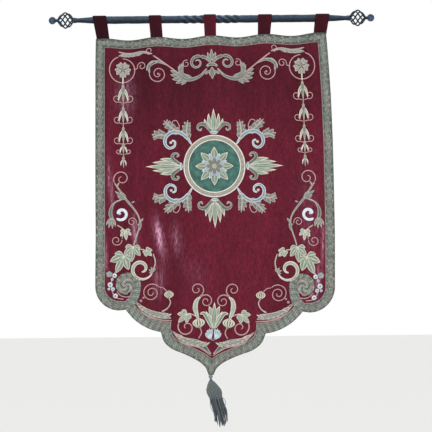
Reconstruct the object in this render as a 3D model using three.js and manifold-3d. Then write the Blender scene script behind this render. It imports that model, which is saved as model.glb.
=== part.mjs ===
// A church banner on its hanging rod: velvet panel, border band, raised embroidery, tabs and tassel.
// Millimetres, +Z up, front towards -Y. The origin is the middle of the rod's axis.
import * as THREE from 'three';
import { mergeVertices } from 'three/addons/utils/BufferGeometryUtils.js';
import Module from 'manifold-3d';

const wasm = await Module();
wasm.setup();

// Rod
const ROD_RADIUS = 12.2;
const ROD_TAPER = [
  { x: 345, radius: 12.2 },
  { x: 382, radius: 10.3 },
  { x: 428, radius: 7.2 },
  { x: 439.7, radius: 9 },
];
const ROD_SIDES = 12;
const TWIST_FROM = -110;
const TWIST_TO = 101;
const TWIST_RIDGE = 1.2;
const TWIST_RIDGES = 4;
const TWIST_TURNS = 2;
const TWIST_STEPS = 26;

// Finials
const CAGE_FROM = 440;
const CAGE_TO = 493;
const CAGE_RADIUS = 24.4;
const CAGE_NECK = 5.5;
const CAGE_WIRES = 6;
const CAGE_TURN = Math.PI;
const WIRE_RADIUS = 2.6;
const WIRE_SIDES = 4;
const WIRE_STEPS = 7;
const HUB_LENGTH = 6;
const HUB_RADIUS = 9;
const BALL_RADIUS = 12;
const BALL_AT = 509;
const BALL_NECK = 4.7;

// Cloth sizes, in the coordinates of the flat cut: s across from the middle, t down from the rod's axis
const GAP = 0.3;
const HALF_WIDTH = 384;
const TOP = 52;
const SIDE_END = 855;
const CORNER_RADIUS = 80;
const PANEL_THICK = 2;
const PANEL_FRONT = -4.5;
const PANEL_ROWS = 12;
const PANEL_ROW_SPREAD = 1.6;
const FIRST_CUSP = { s: 283, t: 932 };
const SECOND_CUSP = { s: 168, t: 1003 };
const POINT = { s: 8, t: 1137 };

// How the cloth hangs
const TAB_PITCH = 180;
const TOP_BULGE = 22;
const BULGE_FADE = 150;
const TOP_SAG = 11;
const SAG_FADE = 110;
const DRAW_IN = 0.0424;
const DRAW_FADE = 260;
const FIELD_FOLD = 2.4;
const FIELD_PITCH = 420;
const FIELD_PHASE = 0.6;
const FIELD_DRIFT = 900;
const FIELD_EASE = 300;
const EDGE_CURL = 5;
const SKEW_TOP = 7;
const SKEW_PER_MM = 0.01655;
const DRIFT = [
  { t: 52, x: -2.3 },
  { t: 250, x: 3 },
  { t: 400, x: 4.8 },
  { t: 690, x: 5.9 },
  { t: 860, x: 3.8 },
  { t: 1000, x: -3 },
  { t: 1137, x: -12 },
];

// Border band and embroidery, as heights above the panel's front
const BAND_WIDTH = 31;
const BAND_LOW = 0.8;
const BAND_HIGH = 2.4;
const TOP_BAND_LIFT = 0.6;
const SEAM = 0.6;
const STITCH_LOW = 0.8;
const STITCH_HIGH = 2.8;
const RING_HIGH = 3.6;
const GROUND_HIGH = 2;
const ROSETTE_LOW = 2.7;
const ROSETTE_HIGH = 4.6;
const SMOOTHNESS = 0.08;
const TOP_ZONE = 190;
const TOP_EDGE = 30;
const FIELD_EDGE = 70;

// Tabs
const TAB_THICK = 2;
const TAB_TAIL = 18;
const TAB_TAIL_Y = -0.2;
const TAB_LAP = 0.42;
const TAB_STEPS = 9;
const TABS = [
  { name: 'tab_1', seat: 12.8, topX: -358.8, topWidth: 43.8, endX: -344.9, endWidth: 40.3, edgeZ: -57.6 },
  { name: 'tab_2', seat: 12.8, topX: -181.3, topWidth: 39.7, endX: -175, endWidth: 39, edgeZ: -51.2 },
  { name: 'tab_3', seat: 14.1, topX: -5.6, topWidth: 40.3, endX: -3.7, endWidth: 36, edgeZ: -52 },
  { name: 'tab_4', seat: 12.8, topX: 171.4, topWidth: 45, endX: 166.4, endWidth: 38.5, edgeZ: -50 },
  { name: 'tab_5', seat: 12.8, topX: 355.4, topWidth: 45, endX: 344.2, endWidth: 40.3, edgeZ: -48.3 },
];

// Tassel: its leaning axis, the netted head's section and the skirt of strands
const TASSEL_AXIS = [
  { z: -1137, x: -13 },
  { z: -1150, x: -13 },
  { z: -1180, x: -4.5 },
  { z: -1201, x: 0 },
  { z: -1228, x: 7 },
  { z: -1250, x: 14 },
  { z: -1304, x: 21 },
];
const KNOT = [
  { z: -1137.6, radius: 4.4 },
  { z: -1141, radius: 6.6 },
  { z: -1145, radius: 6.2 },
  { z: -1149.4, radius: 3.8 },
];
const HEAD = [
  { z: -1149.8, radius: 3.8 },
  { z: -1158, radius: 9 },
  { z: -1176, radius: 22.5 },
  { z: -1186, radius: 24.8 },
  { z: -1203, radius: 24 },
  { z: -1214, radius: 20 },
];
const HEAD_SIDES = 14;
const STRAND_ROOT_Z = -1205;
const STRAND_RINGS = [
  { radius: 18.6, count: 18, tipZ: -1284 },
  { radius: 12, count: 11, tipZ: -1293 },
  { radius: 5.4, count: 5, tipZ: -1299 },
];
const STRAND_SIZE = 2;
const STRAND_SIDES = 3;
const STRAND_STEPS = 2;

const finish = (color, roughness, metalness) => new THREE.MeshStandardMaterial({ color, roughness, metalness });
const FORGED_IRON = finish(0x3c4b5a, 0.5, 0.8);
const TAB_VELVET = finish(0x4a1722, 0.9, 0);
const PANEL_VELVET = finish(0x64232f, 0.9, 0);
const METAL_BAND = finish(0x7d8780, 0.55, 0.5);
const SILVER_THREAD = finish(0xa9ad9d, 0.45, 0.6);
const BLUE_SILVER = finish(0xbec8d2, 0.4, 0.6);
const TEAL_CLOTH = finish(0x3c6e64, 0.8, 0);
const CREAM_SILK = finish(0xd7d7c8, 0.6, 0.1);
const TASSEL_YARN = finish(0x47525c, 0.8, 0.1);

// Numbers from tables
function between(rows, key, at, value) {
  const downwards = rows[0][key] > rows[rows.length - 1][key];
  const sorted = downwards ? [...rows].reverse() : rows;
  if (at <= sorted[0][key]) return sorted[0][value];
  for (let i = 1; i < sorted.length; i += 1) {
    const low = sorted[i - 1];
    const high = sorted[i];
    if (at <= high[key]) {
      const part = (at - low[key]) / (high[key] - low[key]);
      return low[value] + (high[value] - low[value]) * part;
    }
  }
  return sorted[sorted.length - 1][value];
}

// The hung place of a point of the flat cut, h above the panel's front face
function hang(s, t, h) {
  const depth = t - TOP;
  const wave = 0.5 - 0.5 * Math.cos((2 * Math.PI * s) / TAB_PITCH);
  const bulge = TOP_BULGE * wave * Math.exp(-depth / BULGE_FADE);
  const ease = 1 - Math.exp(-depth / FIELD_EASE);
  const fold = FIELD_FOLD * ease * Math.sin((2 * Math.PI * s) / FIELD_PITCH + FIELD_PHASE + t / FIELD_DRIFT);
  const curl = EDGE_CURL * ease * (Math.abs(s) / HALF_WIDTH) ** 8;
  const sag = TOP_SAG * wave * Math.exp(-depth / SAG_FADE);
  const skew = (s / HALF_WIDTH) * (SKEW_TOP - SKEW_PER_MM * depth);
  const x = between(DRIFT, 't', t, 'x') + s * (1 - DRAW_IN * Math.exp(-depth / DRAW_FADE));
  const y = PANEL_FRONT - bulge - fold + curl - h;
  const z = -t - sag + skew;
  return [x, y, z];
}

// Closed geometry from shared points and triangles
function geometryFrom(points, triangles) {
  const geometry = new THREE.BufferGeometry();
  geometry.setAttribute('position', new THREE.Float32BufferAttribute(points.flat(), 3));
  geometry.setIndex(triangles.flat());
  geometry.computeVertexNormals();
  return geometry;
}

// A solid from rings of points, each ring closed, with flat or fanned ends
function loft(rings) {
  const points = rings.flat();
  const sides = rings[0].length;
  const triangles = [];
  for (let i = 0; i + 1 < rings.length; i += 1) {
    for (let j = 0; j < sides; j += 1) {
      const a = i * sides + j;
      const b = i * sides + ((j + 1) % sides);
      triangles.push([a, b, b + sides], [a, b + sides, a + sides]);
    }
  }
  const last = (rings.length - 1) * sides;
  for (let j = 1; j + 1 < sides; j += 1) {
    triangles.push([0, j + 1, j], [last, last + j, last + j + 1]);
  }
  return geometryFrom(points, triangles);
}

// A sheet between two heights from a grid of flat-cut points
function sheet(rows, low, high) {
  const across = rows[0].length;
  const down = rows.length;
  const front = rows.flat().map(([s, t]) => hang(s, t, high));
  const back = rows.flat().map(([s, t]) => hang(s, t, low));
  const count = front.length;
  const triangles = [];
  const quad = (a, b, c, d) => triangles.push([a, b, c], [a, c, d]);
  for (let i = 0; i + 1 < down; i += 1) {
    for (let j = 0; j + 1 < across; j += 1) {
      const a = i * across + j;
      quad(a, a + across, a + across + 1, a + 1);
      quad(count + a, count + a + 1, count + a + across + 1, count + a + across);
    }
  }
  const rim = [];
  for (let j = 0; j + 1 < across; j += 1) rim.push(j);
  for (let i = 0; i + 1 < down; i += 1) rim.push(i * across + across - 1);
  for (let j = across - 1; j > 0; j -= 1) rim.push((down - 1) * across + j);
  for (let i = down - 1; i > 0; i -= 1) rim.push(i * across);
  rim.forEach((a, k) => {
    const b = rim[(k + 1) % rim.length];
    quad(a, b, count + b, count + a);
  });
  return geometryFrom([...front, ...back], triangles);
}

// Solids for joining and cutting
function toSolid(geometry) {
  const bare = geometry.clone();
  bare.deleteAttribute('normal');
  bare.deleteAttribute('uv');
  const merged = mergeVertices(bare, 1e-4);
  const vertProperties = new Float32Array(merged.attributes.position.array);
  const triVerts = new Uint32Array(merged.index.array);
  return new wasm.Manifold(new wasm.Mesh({ numProp: 3, vertProperties, triVerts }));
}

function joined(solids) {
  return solids.reduce((sum, solid) => sum.add(solid)).asOriginal().simplify(SMOOTHNESS);
}

function fromSolid(solid) {
  const mesh = solid.getMesh();
  const points = [];
  for (let i = 0; i < mesh.vertProperties.length; i += mesh.numProp) {
    points.push([...mesh.vertProperties.slice(i, i + 3)]);
  }
  const triangles = [];
  for (let i = 0; i < mesh.triVerts.length; i += 3) {
    triangles.push([...mesh.triVerts.slice(i, i + 3)]);
  }
  return { points, triangles };
}

// Splits each edge over a length at its middle, so a flat piece can follow the folds
function splitLongEdges({ points, triangles }, longest) {
  const size = (a, b) => Math.hypot(points[a][0] - points[b][0], points[a][1] - points[b][1]);
  let current = triangles;
  let found = true;
  while (found) {
    found = false;
    const middles = new Map();
    const next = [];
    for (const [a, b, c] of current) {
      const edges = [[a, b, c], [b, c, a], [c, a, b]];
      const [p, q, r] = edges.reduce((best, edge) => (size(edge[0], edge[1]) > size(best[0], best[1]) ? edge : best));
      const key = p < q ? `${p},${q}` : `${q},${p}`;
      if (size(p, q) > longest && !middles.has(key)) {
        points.push(points[p].map((value, k) => (value + points[q][k]) / 2));
        middles.set(key, points.length - 1);
      }
      next.push([p, q, r]);
    }
    const split = (triangle) => {
      const [a, b, c] = triangle;
      for (const [p, q, r] of [[a, b, c], [b, c, a], [c, a, b]]) {
        const middle = middles.get(p < q ? `${p},${q}` : `${q},${p}`);
        if (middle !== undefined) {
          found = true;
          return [...split([p, middle, r]), ...split([middle, q, r])];
        }
      }
      return [triangle];
    };
    current = next.flatMap(split);
  }
  return { points, triangles: current };
}

// A piece of the flat cut, joined from its outlines, then hung with the cloth
function appliedPiece(outlines, low, high, side) {
  const solids = outlines.map((outline) => {
    const shape = new THREE.Shape(outline.map(([s, t]) => new THREE.Vector2(side * s, t)));
    return toSolid(new THREE.ExtrudeGeometry(shape, { depth: high - low, bevelEnabled: false }));
  });
  const highest = Math.min(...outlines.flat().map(([, t]) => t));
  const flat = splitLongEdges(fromSolid(joined(solids)), highest < TOP_ZONE ? TOP_EDGE : FIELD_EDGE);
  const points = flat.points.map(([s, t, h]) => hang(s, t, low + h));
  return geometryFrom(points, flat.triangles.map(([a, b, c]) => [a, c, b]));
}

// Outlines in the flat cut, as lists of [s, t]
function ribbon(rows, stepsPerRow) {
  const curve = new THREE.CatmullRomCurve3(rows.map(([s, t]) => new THREE.Vector3(s, t, 0)), false, 'centripetal');
  const count = (rows.length - 1) * stepsPerRow;
  const left = [];
  const right = [];
  for (let i = 0; i <= count; i += 1) {
    const at = i / count;
    const place = curve.getPoint(at);
    const along = curve.getTangent(at);
    const row = Math.min(rows.length - 2, Math.floor(at * (rows.length - 1)));
    const part = at * (rows.length - 1) - row;
    const half = 0.5 * (rows[row][2] + (rows[row + 1][2] - rows[row][2]) * part);
    left.push([place.x - along.y * half, place.y + along.x * half]);
    right.unshift([place.x + along.y * half, place.y - along.x * half]);
  }
  return [...left, ...right];
}

const stem = (...rows) => ribbon(rows, rows.length > 4 ? 1 : 2);

// A spiral: angles in degrees from outwards towards up, running from the outer radius to the inner
function curl({ s, t, outer, inner, from, sweep, wide, narrow }) {
  const steps = Math.max(4, Math.round(Math.abs(sweep) / 72));
  const rows = [];
  for (let i = 0; i <= steps; i += 1) {
    const part = i / steps;
    const angle = THREE.MathUtils.degToRad(from + sweep * part);
    const radius = outer + (inner - outer) * part;
    rows.push([s + radius * Math.cos(angle), t - radius * Math.sin(angle), wide + (narrow - wide) * part]);
  }
  return ribbon(rows, 1);
}

// A leaf from its base to its tip, with rounded or pointed lobes on both sides
function leaf({ from, to, width, lobes = 1 }) {
  const along = [to[0] - from[0], to[1] - from[1]];
  const length = Math.hypot(...along);
  const unit = along.map((value) => value / length);
  const place = (part, off) => [
    from[0] + unit[0] * length * part - unit[1] * off,
    from[1] + unit[1] * length * part + unit[0] * off,
  ];
  const side = [];
  for (let k = 0; k < lobes; k += 1) {
    const bottom = k / lobes;
    const reach = Math.sin(Math.PI * (0.2 + (0.62 * (k + 0.7)) / lobes));
    side.push([bottom + 0.62 / lobes, (width / 2) * reach]);
    if (k + 1 < lobes) side.push([bottom + 0.95 / lobes, width * 0.24 * reach]);
  }
  const left = side.map(([part, off]) => place(part, off));
  const right = side.map(([part, off]) => place(part, -off)).reverse();
  return [place(0, 1.6), ...left, place(1, 0), ...right, place(0, -1.6)];
}

function round({ s, t, radius, petals = 0, depth = 0 }) {
  const steps = petals ? petals * 2 : 6;
  const outline = [];
  for (let i = 0; i < steps; i += 1) {
    const angle = (2 * Math.PI * i) / steps;
    const reach = petals && i % 2 ? radius * (1 - depth) : radius;
    outline.push([s + reach * Math.sin(angle), t - reach * Math.cos(angle)]);
  }
  return outline;
}

function mirrored(outlines) {
  return [...outlines, ...outlines.map((outline) => outline.map(([s, t]) => [-s, t]).reverse())];
}

// Foot outline: arcs of the lobe and swag, and the ogee down to the point
function arc(from, to, radius, steps) {
  const chord = Math.hypot(to.s - from.s, to.t - from.t);
  const rise = Math.sqrt(radius ** 2 - chord ** 2 / 4);
  const across = { s: (to.t - from.t) / chord, t: -(to.s - from.s) / chord };
  const centre = { s: (from.s + to.s) / 2 - across.s * rise, t: (from.t + to.t) / 2 - across.t * rise };
  const start = Math.atan2(from.t - centre.t, from.s - centre.s);
  const end = Math.atan2(to.t - centre.t, to.s - centre.s);
  const points = [];
  for (let i = 0; i <= steps; i += 1) {
    const angle = start + ((end - start) * i) / steps;
    points.push([centre.s + radius * Math.cos(angle), centre.t + radius * Math.sin(angle)]);
  }
  return points;
}

function cornerArc(radius, steps) {
  const points = [];
  for (let i = 0; i <= steps; i += 1) {
    const angle = (Math.PI / 2) * (i / steps);
    points.push([
      HALF_WIDTH - CORNER_RADIUS + radius * Math.cos(angle),
      SIDE_END + radius * Math.sin(angle),
    ]);
  }
  return points;
}

const OGEE = [
  [168, 1003, 0],
  [155, 1035, 0],
  [128, 1057, 0],
  [95, 1070, 0],
  [60, 1085, 0],
  [34, 1100, 0],
  [17, 1116, 0],
  [8, 1137, 0],
];
const OGEE_INNER = [
  [136, 991],
  [128, 1012],
  [112, 1027],
  [82, 1042],
  [47, 1057],
  [20, 1070],
  [0, 1084],
];
const SWAG_RADIUS = 168;
const swagOuter = arc(FIRST_CUSP, SECOND_CUSP, SWAG_RADIUS, 8);
const swagInner = arc({ s: 261.5, t: 906.5 }, { s: 136, t: 968 }, SWAG_RADIUS - BAND_WIDTH, 8);
const lobeOuter = [...cornerArc(CORNER_RADIUS, 7), [FIRST_CUSP.s, FIRST_CUSP.t]];
const footOutline = [
  ...lobeOuter,
  ...swagOuter.slice(1),
  ...OGEE.slice(1).map(([s, t]) => [s, t]),
].map(([s, t]) => ({ s, t }));

// The panel's lower edge at a distance from the middle
function footAt(s) {
  return between([...footOutline].reverse(), 's', Math.abs(s), 't');
}

// Panel: columns at the turns of its foot, and no wider apart than the folds allow
const PANEL_COLUMNS = [
  0, 8, 17, 34, 47, 60, 77, 95, 112, 128, 142, 155, 168, 184, 200, 216, 232, 249, 266, 283,
  301, 318, 335, 351, 365, 376, 382, 384,
];

function velvetPanel() {
  const half = PANEL_COLUMNS.slice(1);
  const columns = [...half.map((s) => -s).reverse(), ...PANEL_COLUMNS];
  const rows = [];
  for (let i = 0; i <= PANEL_ROWS; i += 1) {
    const part = (i / PANEL_ROWS) ** PANEL_ROW_SPREAD;
    rows.push(columns.map((s) => [s, TOP + (footAt(s) - TOP) * part]));
  }
  return sheet(rows, -PANEL_THICK, 0);
}

// Bands with square sides
function topBand() {
  const steps = 44;
  const rows = [0, 0.5, 1].map((part) => {
    const row = [];
    for (let j = 0; j <= steps; j += 1) {
      const across = -1 + (2 * j) / steps;
      row.push([across * (HALF_WIDTH - BAND_WIDTH * part), TOP + BAND_WIDTH * part]);
    }
    return row;
  });
  return sheet(rows, BAND_LOW + TOP_BAND_LIFT, BAND_HIGH + TOP_BAND_LIFT);
}

function sideBand(side) {
  const steps = 14;
  const rows = [];
  for (let i = 0; i <= steps; i += 1) {
    const part = (i / steps) ** 1.3;
    const row = [0, 0.34, 0.67, 1].map((inwards) => {
      const start = TOP + SEAM + BAND_WIDTH * inwards;
      return [side * (HALF_WIDTH - BAND_WIDTH * inwards), start + (SIDE_END - SEAM - start) * part];
    });
    rows.push(side > 0 ? row.reverse() : row);
  }
  return sheet(rows, BAND_LOW, BAND_HIGH);
}

// The band turns the lower corner, climbs from the cusp and curls into a volute
const JUNCTION = { s: 262, t: 906 };
const VOLUTE = { s: 283, t: 853, radius: 38 };
const lobeBand = [
  [
    ...lobeOuter,
    [JUNCTION.s, JUNCTION.t],
    ...cornerArc(CORNER_RADIUS - BAND_WIDTH, 5).reverse(),
  ],
  [
    [284, 916], [JUNCTION.s, JUNCTION.t], [252, 886], [246, 862], [262, 842], [288, 848], [281, 868],
    [282, 888], [290, 908],
  ],
  round({ s: VOLUTE.s, t: VOLUTE.t, radius: VOLUTE.radius, petals: 7, depth: 0.02 }),
];

const swagBand = [
  [
    [FIRST_CUSP.s - 0.8 * SEAM, FIRST_CUSP.t + 0.6 * SEAM],
    ...swagOuter.slice(1, -1),
    [SECOND_CUSP.s, SECOND_CUSP.t - SEAM],
    [136, 991 - SEAM],
    ...swagInner.reverse(),
  ],
];

const ogeeOuter = ribbon(OGEE, 1).slice(0, OGEE.length);
const pointBand = [
  [
    [SECOND_CUSP.s, SECOND_CUSP.t + SEAM],
    ...ogeeOuter.slice(1),
    ...ogeeOuter.slice(1).map(([s, t]) => [-s, t]).reverse(),
    [-SECOND_CUSP.s, SECOND_CUSP.t + SEAM],
    ...OGEE_INNER.slice(0, -1).map(([s, t]) => [-s, t]),
    ...[...OGEE_INNER].reverse(),
  ],
];

// Embroidered sprays, drawn for one half with s outwards
const topFleuron = mirrored([
  leaf({ from: [0, 132], to: [0, 95], width: 20, lobes: 2 }),
  leaf({ from: [0, 130], to: [23, 109], width: 12 }),
  stem([0, 148, 11], [14, 148, 9]),
  leaf({ from: [0, 146], to: [0, 188], width: 22, lobes: 2 }),
  stem([3, 141, 6], [18, 124, 12], [38, 116, 13]),
  curl({ s: 50, t: 137, outer: 23, inner: 9, from: 125, sweep: -400, wide: 12, narrow: 5 }),
]);

const topScroll = [
  stem([17, 157, 5], [42, 181, 9], [84, 188, 12], [112, 168, 9]),
  leaf({ from: [86, 190], to: [141, 123], width: 30, lobes: 4 }),
  leaf({ from: [96, 182], to: [130, 197], width: 15, lobes: 2 }),
  stem([112, 167, 4], [150, 141, 5], [194, 111, 5]),
  stem([146, 143, 4], [180, 131, 10], [206, 144, 12], [203, 166, 7]),
  curl({ s: 178, t: 171, outer: 28, inner: 8, from: 12, sweep: -520, wide: 3.4, narrow: 3.4 }),
];

const cornerRing = [
  stem([197, 108, 5], [232, 98, 9], [266, 101, 13], [309, 99, 3]),
  curl({ s: 294, t: 154, outer: 45, inner: 33, from: 76, sweep: -330, wide: 4, narrow: 3.4 }),
  stem([284, 121, 3.4], [291, 134, 3.4]),
  curl({ s: 206, t: 95, outer: 10, inner: 5, from: -100, sweep: 300, wide: 3.2, narrow: 3 }),
  round({ s: 293, t: 153, radius: 25, petals: 5, depth: 0.28 }),
  stem([293, 166, 5], [293, 195, 4]),
  stem([301, 101, 4], [305, 112, 4]),
  curl({ s: 231, t: 143, outer: 14, inner: 5, from: -25, sweep: 420, wide: 3.4, narrow: 3 }),
  stem([260, 152, 3.4], [243, 149, 3.4]),
];

const HUSKS = [
  { t: 212, end: 258, width: 31, curlAt: 247, curlSize: 12 },
  { t: 284, end: 326, width: 28, curlAt: 316, curlSize: 11 },
  { t: 350, end: 392, width: 28, curlAt: 383, curlSize: 11 },
  { t: 402, end: 426, width: 20, curlAt: 0, curlSize: 0 },
  { t: 446, end: 468, width: 16, curlAt: 0, curlSize: 0 },
];
const HUSK_LINE = 293;
const CHAIN_FROM = 198;
const CHAIN_TO = 474;
const WHISKER_STEPS = 4;

function husk({ t, end, width }) {
  const tall = end - t;
  const half = width / 2;
  const side = [[1.8, 0], [half * 0.62, tall * 0.45], [half * 0.7, tall * 0.7], [half, tall], [half * 0.45, tall * 0.84]];
  const right = side.map(([off, down]) => [HUSK_LINE + off, t + down]);
  const left = side.map(([off, down]) => [HUSK_LINE - off, t + down]).reverse();
  return [...right, [HUSK_LINE, end + 4], ...left];
}

// The pair of thin curls under a husk, as one ribbon through the chain's line
function whisker({ end, curlAt, curlSize }) {
  const half = [];
  for (let i = 0; i <= WHISKER_STEPS; i += 1) {
    const part = i / WHISKER_STEPS;
    const angle = THREE.MathUtils.degToRad(-115 + 340 * part);
    const radius = curlSize * (1.1 - 0.75 * part);
    half.push([curlSize + 9 + radius * Math.cos(angle), curlAt - radius * Math.sin(angle)]);
  }
  const right = half.map(([off, t]) => [HUSK_LINE + off, t, 3]);
  const left = half.map(([off, t]) => [HUSK_LINE - off, t, 3]).reverse();
  return ribbon([...left, [HUSK_LINE, end + 4, 3], ...right], 1);
}

function huskChain() {
  const outlines = [stem([HUSK_LINE, CHAIN_FROM, 3.4], [HUSK_LINE, CHAIN_TO, 3.4])];
  HUSKS.forEach((row) => {
    outlines.push(husk(row));
    if (row.curlSize) outlines.push(whisker(row));
  });
  return outlines;
}

const sideVine = [
  stem([295, 478, 3.4], [319, 489, 4], [325, 518, 4.4], [312, 546, 5]),
  curl({ s: 297, t: 506, outer: 27, inner: 6, from: 88, sweep: 470, wide: 3.6, narrow: 3.2 }),
  leaf({ from: [318, 541], to: [280, 575], width: 26, lobes: 2 }),
  leaf({ from: [308, 548], to: [330, 566], width: 13 }),
  stem([284, 571, 5], [251, 610, 5], [242, 662, 4.2], [263, 728, 4]),
  stem([292, 566, 4], [325, 590, 4.4], [331, 632, 4.4], [336, 676, 3]),
  leaf({ from: [331, 606], to: [334, 672], width: 17, lobes: 2 }),
  curl({ s: 304, t: 620, outer: 28, inner: 9, from: -62, sweep: 400, wide: 8, narrow: 11 }),
  stem([330, 630, 4], [319, 646, 5], [316, 656, 5], [296, 672, 5]),
  leaf({ from: [300, 664], to: [284, 702], width: 26, lobes: 2 }),
  stem([290, 684, 4], [299, 702, 3.6]),
  curl({ s: 315, t: 708, outer: 18, inner: 6, from: 160, sweep: -420, wide: 3.6, narrow: 3.4 }),
  curl({ s: 266, t: 652, outer: 14, inner: 6, from: -150, sweep: -400, wide: 3.4, narrow: 3.4 }),
  stem([244, 662, 3.6], [254, 660, 3.4]),
  leaf({ from: [263, 722], to: [272, 774], width: 36, lobes: 3 }),
];

const cornerBuds = [
  leaf({ from: [296, 756], to: [318, 812], width: 46, lobes: 3 }),
  stem([317, 804, 4], [329, 826, 4], [332, 862, 4]),
  stem([332, 858, 4], [318, 890, 4], [291, 898, 3]),
  round({ s: 337, t: 823, radius: 8 }),
  round({ s: 321, t: 825, radius: 8 }),
  round({ s: 333, t: 862, radius: 10 }),
  round({ s: 318, t: 891, radius: 8 }),
];

const fieldCurl = [
  leaf({ from: [211, 764], to: [210, 728], width: 20, lobes: 2 }),
  leaf({ from: [212, 762], to: [232, 744], width: 15 }),
  leaf({ from: [209, 762], to: [190, 745], width: 15 }),
  stem([211, 758, 3.4], [192, 784, 3.4], [204, 815, 4.4], [238, 826, 9]),
  curl({ s: 235, t: 799, outer: 27, inner: 10, from: -92, sweep: 330, wide: 9, narrow: 10 }),
  leaf({ from: [196, 806], to: [216, 789], width: 17, lobes: 2 }),
];

const footSpray = [
  curl({ s: 203, t: 877, outer: 29, inner: 6, from: 140, sweep: -640, wide: 3.6, narrow: 3.4 }),
  stem([181, 858, 3.4], [166, 861, 3.4], [154, 872, 3.4]),
  leaf({ from: [146, 896], to: [157, 864], width: 30, lobes: 2 }),
  stem([147, 888, 3.4], [141, 908, 3.6], [150, 926, 4], [168, 938, 6]),
  stem([248, 903, 3], [218, 931, 13], [176, 945, 17], [136, 958, 4]),
];

const lilyHorn = [
  stem([59, 956, 5], [63, 922, 11], [46, 889, 7]),
  curl({ s: 30, t: 903, outer: 21, inner: 8, from: 42, sweep: 300, wide: 5, narrow: 4 }),
  stem([62, 906, 5], [68, 882, 4], [58, 862, 4], [47, 870, 4]),
  leaf({ from: [56, 948], to: [113, 955], width: 32, lobes: 3 }),
  stem([96, 958, 4], [111, 976, 4]),
  curl({ s: 92, t: 986, outer: 21, inner: 9, from: 32, sweep: -300, wide: 4, narrow: 4 }),
];

const pointLeaf = [
  stem([117, 1014, 3], [76, 1024, 15], [26, 1034, 15], [6, 1066, 4]),
  stem([52, 1020, 4], [40, 1004, 4], [40, 990, 4]),
];

const footPalmette = mirrored([
  leaf({ from: [0, 992], to: [0, 906], width: 28, lobes: 2 }),
  stem([4, 984, 10], [18, 952, 14], [36, 938, 11], [45, 949, 4]),
  leaf({ from: [10, 984], to: [50, 964], width: 24, lobes: 2 }),
  stem([0, 980, 10], [0, 1000, 10]),
  round({ s: 8, t: 1003, radius: 13 }),
  leaf({ from: [0, 1006], to: [0, 1034], width: 16 }),
]);

// Middle medallion: a plain ring around a rosette, with palmettes on its axes and curled sprays between
const MEDALLION = { s: 0, t: 470, ground: 82, ringIn: 83, ringOut: 99, rosette: 62, petals: 8 };
const MEDALLION_STEPS = 24;

function ringRows(radii) {
  return radii.map((radius) => {
    const row = [];
    for (let i = 0; i < MEDALLION_STEPS; i += 1) {
      const angle = (2 * Math.PI * i) / MEDALLION_STEPS;
      row.push([MEDALLION.s + radius * Math.sin(angle), MEDALLION.t + radius * Math.cos(angle)]);
    }
    return row;
  });
}

// A ring or disc of the cloth: circles of points, closed around, with both heights
function roundSheet(radii, low, high) {
  const rows = ringRows(radii.filter((radius) => radius > 0));
  const disc = radii[0] === 0;
  const points = [];
  [high, low].forEach((h) => {
    rows.flat().forEach(([s, t]) => points.push(hang(s, t, h)));
    if (disc) points.push(hang(MEDALLION.s, MEDALLION.t, h));
  });
  const count = points.length / 2;
  const triangles = [];
  const last = (rows.length - 1) * MEDALLION_STEPS;
  for (let j = 0; j < MEDALLION_STEPS; j += 1) {
    const k = (j + 1) % MEDALLION_STEPS;
    for (let i = 0; i + 1 < rows.length; i += 1) {
      const a = i * MEDALLION_STEPS + j;
      const b = i * MEDALLION_STEPS + k;
      const c = b + MEDALLION_STEPS;
      const d = a + MEDALLION_STEPS;
      triangles.push([a, d, c], [a, c, b]);
      triangles.push([count + a, count + c, count + d], [count + a, count + b, count + c]);
    }
    triangles.push([last + j, count + last + j, count + last + k], [last + j, count + last + k, last + k]);
    if (disc) {
      triangles.push([count - 1, j, k], [2 * count - 1, count + k, count + j]);
    } else {
      triangles.push([j, k, count + k], [j, count + k, count + j]);
    }
  }
  return geometryFrom(points, triangles);
}

const rosette = [
  round({ s: MEDALLION.s, t: MEDALLION.t, radius: MEDALLION.rosette, petals: MEDALLION.petals, depth: 0.34 }),
];

const palmetteUp = mirrored([
  leaf({ from: [0, 368], to: [0, 286], width: 34, lobes: 3 }),
  stem([6, 364, 8], [16, 344, 13], [34, 330, 13], [50, 334, 9], [53, 346, 5]),
  leaf({ from: [8, 360], to: [40, 304], width: 22, lobes: 2 }),
]);

const palmetteDown = mirrored([
  leaf({ from: [0, 570], to: [0, 668], width: 32, lobes: 3 }),
  stem([6, 577, 8], [18, 596, 13], [35, 607, 13], [50, 601, 9], [52, 589, 5]),
]);

const palmetteSide = [
  leaf({ from: [101, 470], to: [222, 470], width: 34, lobes: 4 }),
  stem([106, 464, 8], [128, 452, 12], [146, 436, 12], [143, 421, 8], [131, 420, 5]),
  stem([106, 476, 8], [128, 488, 12], [146, 504, 12], [143, 519, 8], [131, 520, 5]),
];

function medallionSpray(up) {
  const flip = (t) => MEDALLION.t + up * (MEDALLION.t - t);
  const rows = [
    [72, 401, 5], [86, 380, 10], [108, 362, 13], [136, 360, 13], [156, 376, 12], [158, 398, 11],
    [144, 411, 9], [128, 404, 8], [129, 391, 6],
  ].map(([s, t, width]) => [s, flip(t), width]);
  return [
    ribbon(rows, 2),
    leaf({ from: [84, flip(386)], to: [88, flip(322)], width: 24, lobes: 3 }),
    leaf({ from: [108, flip(364)], to: [160, flip(322)], width: 24, lobes: 3 }),
    leaf({ from: [150, flip(372)], to: [196, flip(376)], width: 20, lobes: 2 }),
  ];
}

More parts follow.
